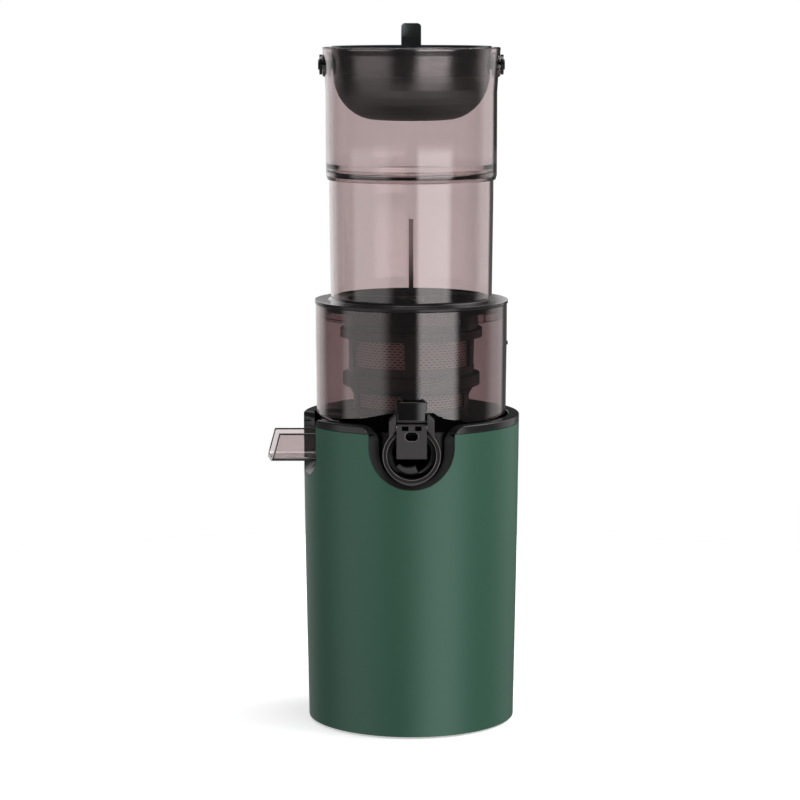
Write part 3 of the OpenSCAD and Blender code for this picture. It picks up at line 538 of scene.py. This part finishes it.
def plain_blacks():
    """Black and dark grey pieces, from polished to matt, and rubber."""
    return {
        "smoke_gloss": grained("smoke_gloss", (0.022, 0.019, 0.019), 0.12, FINE_GRAIN),
        "black_gloss": grained("black_gloss", (0.012, 0.0115, 0.0115), 0.22, MOULDED_GRAIN),
        "hinge_black": grained("hinge_black", (0.006, 0.006, 0.006), 0.1, FINE_GRAIN,
                               specular_ior_level=0.45),
        "outlet_black": grained("outlet_black", (0.024, 0.023, 0.023), 0.14, FINE_GRAIN),
        # Near black: the arch behind the outlet and the sheets in the flap's slots wear it as painted shade
        "recess_black": grained("recess_black", (0.002, 0.002, 0.002), 0.8, MOULDED_GRAIN,
                                specular_ior_level=0.0),
        "block_black": grained("block_black", (0.01, 0.0096, 0.0096), 0.45, MOULDED_GRAIN,
                               specular_ior_level=0.25),
        "black_matte": grained("black_matte", (0.016, 0.0155, 0.0155), 0.42, (1800, 0.004, 0.00001, 0.012)),
        "smoke_dark": grained("smoke_dark", (0.03, 0.028, 0.028), 0.2, (1000, 0.03, 0.00003, 0.02)),
        "black_rubber": grained("black_rubber", (0.012, 0.012, 0.012), 0.75, RUBBER_GRAIN),
        "grey_rubber": grained("grey_rubber", (0.14, 0.14, 0.145), 0.7, RUBBER_GRAIN),
        "strainer_black": mottled("strainer_black", (0.07, 0.065, 0.065), (0.08, 0.075, 0.075), 60, 0.35),
        "flap_grey": mottled("flap_grey", (0.045, 0.042, 0.042), (0.055, 0.05, 0.05), 150, 0.3),
        "cheek_grey": mottled("cheek_grey", (0.05, 0.045, 0.045), (0.06, 0.055, 0.055), 150, 0.3),
        # Light grey: the lines on the outlet's lips, the window's rim and the lock pockets' lines wear it as
        # a painted highlight
        "edge_grey": mottled("edge_grey", (0.15, 0.13, 0.13), (0.17, 0.15, 0.15), 150, 0.25),
    }


def inner_finishes():
    """Metals, the board and the gears inside the base."""
    brushed = (900, 0.08, 0.00003, 0.08, (1, 1, 12))
    layered = (1500, 0.3, 0.0001, 0.05, (0.05, 0.05, 1))
    return {
        "steel": grained("steel", (0.6, 0.6, 0.62), 0.3, brushed, metallic=1.0),
        "cast_alloy": grained("cast_alloy", (0.45, 0.46, 0.48), 0.5, (500, 0.3, 0.0001, 0.08), metallic=1.0),
        "iron": grained("iron", (0.1, 0.08, 0.06), 0.5, layered, metallic=0.6),
        "bronze": grained("bronze", (0.45, 0.25, 0.1), 0.45, (1500, 0.2, 0.00005, 0.05), metallic=1.0),
        "board_green": mottled("board_green", (0.008, 0.06, 0.025), (0.012, 0.085, 0.035), 300, 0.35),
        "board_parts": mottled("board_parts", (0.015, 0.015, 0.022), (0.03, 0.03, 0.04), 150, 0.4),
        "gear_plastic": grained("gear_nylon", (0.6, 0.57, 0.48), 0.45, (800, 0.1, 0.00005, 0.05),
                                subsurface_weight=0.1),
    }


def make_materials():
    """All finishes, by their slots in the record or, where only the scene uses them, by their own names."""
    return {
        "green_shell": shell_green(),
        "black_satin": bucket_black(),
        "mesh_steel": paint_slots(principled("mesh_steel", (0.72, 0.55, 0.53), 0.5)),
        **clear_finishes(),
        **painted_light_finishes(),
        **plain_blacks(),
        **inner_finishes(),
    }


def dress(obj, mat):
    """Gives the object this material and no other."""
    obj.data.materials.clear()
    obj.data.materials.append(mat)


def put(obj, body, mat, slot, *replaced):
    """Dresses a piece, lets it ride on a body and hides the nodes that it replaces."""
    dress(obj, materials[mat])
    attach(obj, body)
    if replaced:
        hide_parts(*replaced)


def smooth(obj, angle):
    """Shades the object smoothly, with creases where faces meet at more than the angle."""
    mesh = obj.data
    mesh.polygons.foreach_set("use_smooth", [True] * len(mesh.polygons))
    mesh.set_sharp_from_angle(angle=math.radians(angle))


def face_outwards(mesh):
    """Turns the faces of a closed mesh outwards."""
    bm = bmesh.new()
    bm.from_mesh(mesh)
    bmesh.ops.recalc_face_normals(bm, faces=bm.faces)
    bm.to_mesh(mesh)
    bm.free()


def mesh_object(name, verts, faces, smooth_angle=35):
    """A mesh from points in millimetres, with outward faces and soft edges below the angle."""
    mesh = bpy.data.meshes.new(name)
    mesh.from_pydata([(x * MM, y * MM, z * MM) for x, y, z in verts], [], faces)
    face_outwards(mesh)
    obj = bpy.data.objects.new(name, mesh)
    bpy.context.scene.collection.objects.link(obj)
    smooth(obj, smooth_angle)
    return obj


def arc(cx, cy, r, start, end, count):
    """Points of an arc from one angle to another, both ends included."""
    angles = [math.radians(start + (end - start) * i / count) for i in range(count + 1)]
    return [(cx + r * math.cos(a), cy + r * math.sin(a)) for a in angles]


def circle(cx, cy, r, count):
    """Points of a whole circle, each once."""
    return arc(cx, cy, r, 0, 360, count)[:count]


def supported(profile, near=0.35):
    """The profile with a point close to each end of its long sides, which keeps them straight when shaded."""
    points = []
    for (r0, z0), (r1, z1) in zip(profile, profile[1:] + profile[:1]):
        points.append((r0, z0))
        length = math.hypot(r1 - r0, z1 - z0)
        if length > 3 * near:
            for t in (near / length, 1 - near / length):
                points.append((r0 + (r1 - r0) * t, z0 + (z1 - z0) * t))
    return points


def lathe(name, profile, steps=192, smooth_angle=35):
    """A closed solid of revolution from a closed (radius, height) profile that stays off the axis."""
    profile = supported(profile)
    count = len(profile)
    verts = []
    for i in range(steps):
        a = 2 * math.pi * i / steps
        verts += [(r * math.cos(a), r * math.sin(a), z) for r, z in profile]
    return mesh_object(name, verts, tube_faces(steps, count), smooth_angle)


def tube_faces(rings, count):
    """Faces between rings of equally many points that follow one another and close on the first."""
    faces = []
    for k in range(rings):
        n = (k + 1) % rings
        for i in range(count):
            j = (i + 1) % count
            faces.append((k * count + i, k * count + j, n * count + j, n * count + i))
    return faces


def stack_loop(name, rings):
    """A closed tube-like solid whose rings follow one another and close on the first."""
    verts = [p for ring in rings for p in ring]
    return mesh_object(name, verts, tube_faces(len(rings), len(rings[0])))


def stack_rings(name, rings):
    """A closed solid between rings of equally many points, with a face at each end."""
    count = len(rings[0])
    verts = [p for ring in rings for p in ring]
    faces = [tuple(range(count - 1, -1, -1))]
    for k in range(len(rings) - 1):
        for i in range(count):
            j = (i + 1) % count
            faces.append((k * count + i, k * count + j, (k + 1) * count + j, (k + 1) * count + i))
    last = (len(rings) - 1) * count
    faces.append(tuple(range(last, last + count)))
    return mesh_object(name, verts, faces)


def slab(name, outline, back, front):
    """A prism between two depths from an outline of side places and heights."""
    return stack_rings(name, [[(x, y, z) for x, z in outline] for y in (back, front)])


def bar(name, outline, half):
    """A prism as far to the left as to the right, from an outline of depths and heights."""
    return stack_rings(name, [[(x, y, z) for y, z in outline] for x in (-half, half)])


def section_at(turn, section):
    """Points of a (radius, height) section at an azimuth from the front towards +X."""
    a = math.radians(turn - 90)
    return [(r * math.cos(a), r * math.sin(a), z) for r, z in section]


def patch(name, radius, depth, turns, heights):
    """A block between two azimuths that lies on a cylinder round the axis."""
    start, end = turns
    low, high = heights
    section = ((radius, low), (radius + depth, low), (radius + depth, high), (radius, high))
    count = max(2, int(abs(end - start) / 2) + 1)
    rings = [section_at(start + (end - start) * i / (count - 1), section) for i in range(count)]
    return stack_rings(name, rings)


def rod(name, points, radius):
    """A round rod through points, bent at each of them."""
    sides = 8
    rings = []
    for i, point in enumerate(points):
        before = Vector(points[max(i - 1, 0)])
        after = Vector(points[min(i + 1, len(points) - 1)])
        along = (after - before).normalized()
        across = along.cross(Vector((0.3, 0.5, 0.8))).normalized()
        other = along.cross(across)
        ring = []
        for k in range(sides):
            a = 2 * math.pi * k / sides
            ring.append(tuple(Vector(point) + across * math.cos(a) * radius + other * math.sin(a) * radius))
        rings.append(ring)
    return stack_rings(name, rings)


def combine(obj, tool, operation):
    """Joins, cuts or intersects obj with tool, and removes the tool."""
    modifier = obj.modifiers.new("combine", "BOOLEAN")
    modifier.operation = operation
    modifier.solver = "EXACT"
    modifier.object = tool
    graph = bpy.context.evaluated_depsgraph_get()
    made = bpy.data.meshes.new_from_object(obj.evaluated_get(graph))
    obj.modifiers.remove(modifier)
    obj.data = made
    bpy.data.objects.remove(tool)
    return obj


def soften(obj, width):
    """Rounds the sharp edges of a piece, so that they catch the light."""
    modifier = obj.modifiers.new("soft_edges", "BEVEL")
    modifier.width = width * MM
    modifier.segments = 2
    modifier.limit_method = "ANGLE"
    modifier.angle_limit = math.radians(30)
    weighted = obj.modifiers.new("flat_faces", "WEIGHTED_NORMAL")
    weighted.keep_sharp = True
    return obj


def shell_radius(z):
    """Outer radius of the shell at a height, as in the part."""
    return FOOT_R + (RIM_R - FOOT_R) * (1 - (1 - min(z, RIM_Z) / RIM_Z) ** 1.3)


def rotate_ring(ring, degrees):
    """Turns points about the upright axis."""
    a = math.radians(degrees)
    c, s = math.cos(a), math.sin(a)
    return [(x * c - y * s, x * s + y * c, z) for x, y, z in ring]


def notch_outline(half, corner, bottom, flare, top):
    """Points of a notch seen from outside: flare, side, round bottom, side, flare, closed above."""
    left = arc(-half - flare, top - flare, flare, 90, 0, 12)
    low_left = arc(-half + corner, bottom + corner, corner, 180, 269.6, 20)
    low_right = arc(half - corner, bottom + corner, corner, 270.4, 360, 20)
    right = arc(half + flare, top - flare, flare, 180, 90, 12)
    return left + low_left + low_right + right + [(half + flare, top + 8), (-half - flare, top + 8)]


def notch_tool(name, outer, inner, shift, turn):
    """The space of a bevelled notch, from outside the shell to inside the well."""
    top = RIM_Z + 0.02

    def outline(t, grow=0.0):
        half, corner, bottom, flare = [a + (b - a) * t for a, b in zip(outer, inner)]
        return notch_outline(half + grow, corner + grow, bottom - grow, flare, top)

    def on_cylinder(points, radius):
        return [(u + shift, -math.sqrt(radius**2 - (u + shift) ** 2), z) for u, z in points]

    def on_plane(points, y):
        return [(u + shift, y, z) for u, z in points]

    rings = [on_plane(outline(0, 1.4), -RIM_R - 12), on_cylinder(outline(0, 1.4), RIM_R + 0.4)]
    for depth, grow in ((0.0, 0.55), (0.35, 0.15), (0.8, -0.1)):
        rings.append(on_cylinder(outline(0, grow), RIM_R - depth))
    for t in (0.25, 0.5, 0.75):
        rings.append(on_cylinder(outline(t), RIM_R - 0.8 - (RIM_R - 0.8 - WELL_R) * t))
    rings += [on_cylinder(outline(1), WELL_R - 0.6), on_plane(outline(1), -38)]
    return stack_rings(name, [rotate_ring(ring, turn) for ring in rings])


def notch_block(name, half, corner, bottom, shift, turn):
    """Prism that holds the trim of a notch."""
    points = arc(-half + corner, bottom + corner, corner, 180, 269.6, 24)
    points += arc(half - corner, bottom + corner, corner, 270.4, 360, 24)
    points += [(half, SEAM_Z + 0.1), (-half, SEAM_Z + 0.1)]
    rings = [[(u + shift, y, z) for u, z in points] for y in (-80, -30)]
    return stack_rings(name, [rotate_ring(ring, turn) for ring in rings])


def make_collar():
    """The collar with its wide top face and the bevelled trims of both notches."""
    wall = [(WELL_R, TRIM_LOW)] + [(shell_radius(z), z) for z in range(TRIM_LOW, SEAM_Z + 1, 4)]
    trims = []
    for label, outer, inner, shift, turn in NOTCHES:
        trim = lathe("trim_" + label, wall + [(WELL_R, SEAM_Z + 0.05)], 384)
        trims.append(combine(trim, notch_block("block_" + label, *outer[:3], shift, turn), "INTERSECT"))
    low = SEAM_Z + 0.15
    profile = [(WELL_R + 2, COLLAR_LOW), (WELL_R + 2, low - 0.3), (shell_radius(SEAM_Z) - 0.25, low)]
    profile += [(shell_radius(SEAM_Z), low + 0.25)]
    profile += arc(RIM_R - 0.9, RIM_Z - 0.9, 0.9, 0, 90, 6)
    profile += arc(WELL_R + 0.6, RIM_Z - 0.6, 0.6, 90, 180, 5)
    profile += [(WELL_R, COLLAR_LOW)]
    collar = lathe("collar_trim", profile, 384)
    for trim in trims:
        combine(collar, trim, "UNION")
    for label, outer, inner, shift, turn in NOTCHES:
        combine(collar, notch_tool(label + "_tool", outer, inner, shift, turn), "DIFFERENCE")
    smooth(collar, 32)
    put(collar, "base", "trim_black", "black_gloss", "collar")


def make_lid():
    """The lid's flange, painted dark and with a fillet at the tube, the clear tube and the clear skirt below.
    """
    fillet, lip = 2.1, 0.35
    profile = [(TUBE_FOOT_R, LID_Z), (FLANGE_R - 0.3, LID_Z), (FLANGE_R, LID_Z + 0.3)]
    profile += [(FLANGE_R, LID_TOP - lip)]
    profile += arc(FLANGE_R - lip, LID_TOP - lip, lip, 20, 90, 4)
    profile += [(TUBE_FOOT_R + fillet, LID_TOP)]
    profile += arc(TUBE_FOOT_R + fillet, LID_TOP + fillet, fillet, 264, 186, 6)
    profile += [(TUBE_FOOT_R, LID_TOP + fillet)]
    put(lathe("lid_flange", profile, 256, 25), "lid_unit", "lid_smoke", "smoke_clear", "lid")

    bore, rim = TUBE_R - TUBE_T, TUBE_TOP - 0.4
    foot = TUBE_FOOT_R - 0.1
    profile = [(foot - 1.9, LID_Z + 0.1), (foot, LID_Z + 0.1), (foot, LID_TOP + 1.7), (TUBE_R, TUBE_TOP - 16)]
    profile += arc(TUBE_R - 0.4, rim, 0.4, 0, 90, 3) + arc(bore + 0.4, rim, 0.4, 90, 180, 3)
    profile += [(bore, TUBE_TOP - 16.8)]
    put(lathe("lid_tube", profile, 256), "lid_unit", "smoke_clear", "smoke_clear")

    low, high = SKIRT_Z, LID_Z - 0.05
    profile = [(SKIRT_IN, low + 0.3), (SKIRT_IN + 0.3, low), (SKIRT_OUT - 0.3, low), (SKIRT_OUT, low + 0.3)]
    profile += [(SKIRT_OUT, high), (SKIRT_IN, high)]
    put(lathe("lid_skirt", profile, 256), "lid_unit", "smoke_clear", "smoke_clear")


def make_pockets():
    """The raised lines of the lock pockets on the lid's skirt, in a light grey that is a painted highlight
    for the light their edges catch.
    """
    pocket = None
    for i, (start, end, deep, shallow) in enumerate(POCKET_LINES):
        heights = (LID_Z - deep, LID_Z - shallow)
        rib = patch("pocket_rib_%d" % i, SKIRT_OUT - 0.2, 0.5, (start, end), heights)
        pocket = rib if pocket is None else combine(pocket, rib, "UNION")
    pocket.name = "lock_pockets"
    put(pocket, "lid_unit", "edge_grey", "smoke_clear")


def upright_normals(obj, low, high):
    """Shades the nearly upright faces between two heights as if they were upright."""
    mesh = obj.data
    normals = []
    for vertex in mesh.vertices:
        normal = vertex.normal.copy()
        if low * MM < vertex.co.z < high * MM and abs(normal.z) < 0.2:
            normal.z = 0
            normal.normalize()
        normals.append(normal)
    mesh.normals_split_custom_set_from_vertices(normals)
    return obj


def make_hopper():
    """The clear hopper, which widens to a flared rim and steps in where it sits on the tube."""
    low, flare, lip = TUBE_TOP - 5, HOPPER_TOP - 27.5, HOPPER_TOP - 0.6
    socket, bore = TUBE_R + 0.3, HOPPER_R - TUBE_T
    step = bore - 1.55
    profile = [(socket, low), (socket + 0.7, low), (socket + 1.1, low + 0.4), (HOPPER_R, low + 2.8)]
    profile += [(HOPPER_R, flare), (HOPPER_R + 0.5, flare + 8), (HOPPER_R + 1.95, lip - 1.1)]
    profile += arc(HOPPER_R + 1.4, lip, 0.6, 0, 90, 4) + arc(HOPPER_R + 0.6, lip, 0.6, 90, 180, 4)
    profile += [(bore + 1.9, lip - 1.1), (bore + 0.5, flare + 8), (bore, flare)]
    profile += [(bore, TUBE_TOP + 15.2), (bore - 0.6, TUBE_TOP + 5.2), (step, TUBE_TOP + 2.2)]
    profile += [(step, TUBE_TOP + 0.2), (socket, TUBE_TOP)]
    hopper = upright_normals(lathe("hopper_wall", profile, 256), TUBE_TOP - 0.8, HOPPER_TOP - 1.5)
    put(hopper, "lid_unit", "smoke_hopper", "smoke_clear", "hopper")


def make_seam_shade():
    """Painted shade: a dark line where the hopper meets the tube, which rises at both sides."""
    inner, outer = TUBE_R - 1.4, TUBE_R - 0.3
    low, high = TUBE_TOP - 2.6, TUBE_TOP - 0.7
    rings = []
    for turn in range(-96, 97, 2):
        rise = 2.6 * math.sin(math.radians(turn)) ** 6
        section = ((inner, low + 0.1), (outer, low), (outer + 0.1, low + 0.6), (outer, high + rise),
                   (inner, high - 0.2 + rise))
        rings.append(section_at(turn, section))
    put(stack_rings("seam_shade_line", rings), "lid_unit", "smoke_gloss", "smoke_clear")


def make_pin_bosses():
    """The two rings round the bucket's pins."""
    inner, face = 50.6, 55.1
    rim, hole = 7.6, 3.3
    section = ((inner, rim), (face - 0.9, rim), (face, rim - 0.4), (face, hole), (inner, hole))
    for label, side in (("left", -1), ("right", 1)):
        rings = [[(side * x, y, z) for y, z in circle(0, PIVOT_Z, r, 64)] for x, r in section]
        put(stack_loop("pin_boss_" + label, rings), "lid_unit", "smoke_hopper", "smoke_clear")


def make_bracket():
    """The block on the bowl's wall, the two chamfered cheeks that hold the flap's pin, and a low bridge."""
    wall, foot, top = BOWL_R + 0.3, PIN_Z + 2.4, PIN_Z + 7.8
    turns = (-8.2, 8.2)
    block = patch("outlet_hinge", wall, 5.6, turns, (foot, foot + 12.9))
    put(soften(block, 0.3), "bowl_unit", "hinge_black", "black_gloss", "outlet_bracket")
    inner, outer = 9.5, 13.8
    outline = ((inner, PIN_Z - 1.6), (outer, PIN_Z - 5.4), (outer, top - 3.6), (inner + 0.7, top),
               (inner, top))
    for label, side in (("left", -1), ("right", 1)):
        cheek = slab("hinge_cheek_" + label, [(side * x, z) for x, z in outline], -71.6, -58.5)
        put(soften(cheek, 0.2), "bowl_unit", "cheek_grey", "black_gloss")
    bridge = patch("hinge_bridge", wall, 6.0, turns, (foot + 0.1, top - 3.6))
    put(soften(bridge, 0.35), "bowl_unit", "cheek_grey", "black_gloss")


def window_outline(grow, cut):
    """The octagon of the flap's window, grown at all sides, with its corners cut."""
    half, low, high = 3.7 + grow, PIN_Z - 7.4 - grow, PIN_Z - 2 + grow
    return [(-half, low + cut), (-half + cut, low), (half - cut, low), (half, low + cut),
            (half, high - cut), (half - cut, high), (-half + cut, high), (-half, high - cut)]


def cut_window(flap):
    """Cuts the octagonal window, wider at the front."""
    window = window_outline(0, 1.5)
    wide = window_outline(0.5, 1.7)
    levels = ((wide, -75), (wide, FLAP_FRONT + 0.4), (window, FLAP_FRONT + 0.9), (window, -70.5))
    rings = [[(x, y, z) for x, z in outline] for outline, y in levels]
    combine(flap, stack_rings("window", rings), "DIFFERENCE")


def cut_slots(flap):
    """Cuts the two slots above the window and lays a near-black sheet of painted shade in each."""
    low, high, width = PIN_Z - 1.1, PIN_Z + 1.7, 4
    for label, x in (("left", -6), ("right", 2)):
        outline = ((x, low), (x + width, low), (x + width, high), (x, high))
        combine(flap, slab("slot", outline, -75, -71), "DIFFERENCE")
        put(slab("slot_shade_" + label, outline, -72.1, -71.2), "flap", "recess_black", "flap_grey")


def make_flap():
    """The outlet flap with its barrel, an octagonal window with a painted highlight rim, two slots and a
    ridge at its foot.
    """
    back, top = FLAP_FRONT + 2, PIN_Z + 2.2
    side = ((FLAP_FRONT + 0.8, FLAP_LOW), (back, FLAP_LOW), (back, top), (FLAP_FRONT, top))
    flap = bar("flap_plate", (*side, (FLAP_FRONT, FLAP_LOW + 2.1)), FLAP_HALF)
    combine(flap, bar("barrel", circle(PIN_Y, PIN_Z, 2.3, 48), FLAP_HALF), "UNION")
    low, high = PIN_Z - 1.2, PIN_Z + 1.2
    web = ((-FLAP_HALF, low), (FLAP_HALF, low), (FLAP_HALF, high), (-FLAP_HALF, high))
    combine(flap, slab("web", web, PIN_Y, -72), "UNION")
    combine(flap, bar("bore", circle(PIN_Y, PIN_Z, 1.5, 48), 12), "DIFFERENCE")
    cut_window(flap)
    cut_slots(flap)
    put(soften(flap, 0.15), "flap", "flap_grey", "flap_grey", "outlet_flap")
    # Painted highlight: a light grey rim round the window, for the light its bevelled edge catches
    rim = slab("window_highlight_rim", window_outline(0.65, 1.75), FLAP_FRONT + 0.02, FLAP_FRONT + 0.9)
    combine(rim, slab("opening", window_outline(0.05, 1.5), -76, -70), "DIFFERENCE")
    put(rim, "flap", "edge_grey", "flap_grey")
    ridge = [(x, FLAP_FRONT + 0.3, FLAP_LOW + 2.4) for x in (-FLAP_HALF + 0.1, FLAP_HALF - 0.1)]
    put(rod("flap_ridge", ridge, 0.3), "flap", "edge_grey", "flap_grey")


def spout_end(y, z):
    """Where the slanted end of the spout lies, at a side place and a height."""
    across, side, up = SPOUT_SLANT
    return (SPOUT_END - (side * (y - SPOUT_Y) + up * (z - SPOUT_Z)) / across, y, z)


def make_spout_edge_shade():
    """Painted shade: thin dark rims along the edges of the clear spout, where refraction darkens them."""
    root, corner, curve = -59, 5, 4.6
    low, high = SPOUT_Z, SPOUT_Z + SPOUT_H
    left, right = SPOUT_Y - SPOUT_HALF, SPOUT_Y + SPOUT_HALF
    for label, y in (("near", left + 0.4), ("inner", left + 1.8), ("far", right - 0.4)):
        tip = spout_end(y, high - 0.4)
        edge = rod("spout_edge_shade_" + label, [(root, y, high - 0.4), (tip[0] + 0.4, y, high - 0.4)], 0.5)
        put(edge, "bowl_unit", "smoke_gloss", "smoke_clear")
    outline = [(left + 0.4, high - 0.4), (left + 0.4, low + corner)]
    outline += arc(left + corner, low + corner, curve, 190, 254, 4)
    outline += [(left + corner, low + 0.4), (right - corner, low + 0.4)]
    outline += arc(right - corner, low + corner, curve, 286, 350, 4)
    outline += [(right - 0.4, low + corner), (right - 0.4, high - 0.4)]
    points = []
    for y, z in outline:
        x, y, z = spout_end(y, z)
        points.append((x + 0.45, y, z))
    put(rod("spout_edge_shade_end", points, 0.45), "bowl_unit", "smoke_gloss", "smoke_clear")
    y, z = left + 1.9, low + 1.9
    edge = rod("spout_edge_shade_low", [(root, y, z), (spout_end(y, z)[0] + 0.5, y, z)], 0.5)
    put(edge, "bowl_unit", "smoke_gloss", "smoke_clear")


def ring_about_outlet(obj):
    """Turns a solid made about the upright axis to the outlet's axis, its height towards the front."""
    for vertex in obj.data.vertices:
        x, y, h = vertex.co
        vertex.co = (x, -h, y + OUTLET_Z * MM)
    face_outwards(obj.data)
    smooth(obj, 25)
    return obj


def outlet_arc(name, start, end, r_in, r_out, back, front):
    """A curved bar about the outlet between two angles from straight down; its front edge may slope."""
    rings = []
    for i in range(17):
        t = i / 16
        a = math.radians(start + (end - start) * t - 90)
        low, high, face = (v[0] + (v[1] - v[0]) * t for v in (r_in, r_out, front))
        rings.append([(r * math.cos(a), y, OUTLET_Z + r * math.sin(a))
                      for r, y in ((low, back), (high, back), (high, face), (low, face))])
    return stack_rings(name, rings)


def cut_for_flap(obj, name):
    """Opens a ring of the outlet at the top, where the flap hangs."""
    half, low, high = 14.4, RIM_Z - 3.4, RIM_Z + 17
    box = [(-half, low), (half, low), (half, high), (-half, high)]
    return combine(obj, slab(name, box, -80, -50), "DIFFERENCE")


def make_outlet_lip():
    """The round outlet with rounded lips and a painted highlight line on each."""
    back, lip = 57.8, OUTLET_FRONT - 0.5
    profile = [(OUTLET_R, back), (OUTLET_R, lip), (OUTLET_R - 0.5, OUTLET_FRONT)]
    profile += [(OUTLET_BORE + 0.5, OUTLET_FRONT), (OUTLET_BORE, lip), (OUTLET_BORE, back)]
    ring = cut_for_flap(ring_about_outlet(lathe("outlet_lip", profile, 192, 25)), "lip_cut")
    bowl_wall = circle(0, 0, BOWL_R + 0.3, 128)
    bowl_space = [[(x, y, z) for x, y in bowl_wall] for z in (RIM_Z - 2.5, RIM_Z + 35)]
    combine(ring, stack_rings("bowl_cut", bowl_space), "DIFFERENCE")
    smooth(ring, 25)
    put(soften(ring, 0.12), "bowl_unit", "outlet_black", "black_gloss", "outlet_ring")
    # Painted highlight: thin light grey rings on the edges of the lips
    for name, radius in (("lip_highlight_outer", OUTLET_R - 0.3), ("lip_highlight_inner", OUTLET_BORE + 0.3)):
        line = ring_about_outlet(lathe(name, circle(radius, OUTLET_FRONT - 0.3, 0.28, 12), 192))
        put(cut_for_flap(line, "line_cut"), "bowl_unit", "edge_grey", "black_gloss")


def make_outlet_steps():
    """The stepped edge of the sleeve in the outlet, and the two crescents under the outlet."""
    step = outlet_arc("sleeve_step", -52, 19, (9.6, 7.2), (12.1, 11.6), -60, (-66.5, -66.5))
    put(soften(step, 0.25), "bowl_unit", "trim_black", "black_gloss")
    ramp = outlet_arc("sleeve_ramp", 21, 84, (11.4, 12.0), (12.2, 14.3), -60, (-67.5, -63.5))
    put(soften(ramp, 0.2), "bowl_unit", "cheek_grey", "black_gloss")
    for label, side in (("left", -1), ("right", 1)):
        crescent = outlet_arc("lip_crescent_" + label, 0, side * 44, (17.5, 17.5), (19.2, 17.9), -62,
                              (-68.6, -68.6))
        put(soften(crescent, 0.15), "bowl_unit", "cheek_grey", "black_gloss")


def make_shade_arch():
    """Painted shade: a near-black skin on the foot of the bowl's wall, arched above the outlet, where the
    recess is in shade.
    """
    low, level = RIM_Z - 4.2, RIM_Z + 1.8
    inner, outer = BOWL_R + 0.03, BOWL_R + 0.5
    rings = []
    for (start, rise), (end, fall) in zip(SHADE_ARCH_CREST, SHADE_ARCH_CREST[1:]):
        steps = max(1, round((end - start) / 2))
        for i in range(steps):
            top = level + rise + (fall - rise) * i / steps
            section = ((inner, low), (outer, low), (outer, top), (inner, top))
            rings.append(section_at(start + (end - start) * i / steps, section))
    put(stack_rings("outlet_shade_arch", rings), "bowl_unit", "recess_black", "black_gloss")


def make_nib():
    """The small nib at the right of the bowl."""
    nib = patch("bowl_nib", BOWL_R - 0.2, 0.9, (88.5, 91.5), (RIM_Z + 43, RIM_Z + 45.2))
    put(soften(nib, 0.3), "bowl_unit", "black_gloss", "black_gloss")


camera()
for lamp in LAMPS:
    soft_light(*lamp)
world()
floor()
bpy.context.scene.view_settings.view_transform = "Standard"

materials = make_materials()
slots = {part["node"]: part["material_slot"] for part in frame["record"]["subparts"]}
for name, obj in nodes.items():
    dress(obj, materials[OWN_FINISHES.get(name, slots[name])])
make_collar()
make_lid()
make_pockets()
make_hopper()
make_seam_shade()
make_pin_bosses()
make_bracket()
make_flap()
make_spout_edge_shade()
make_outlet_lip()
make_outlet_steps()
make_shade_arch()
make_nib()
for name, width in ROUNDED.items():
    soften(nodes[name], width)

bpy.context.view_layer.update()
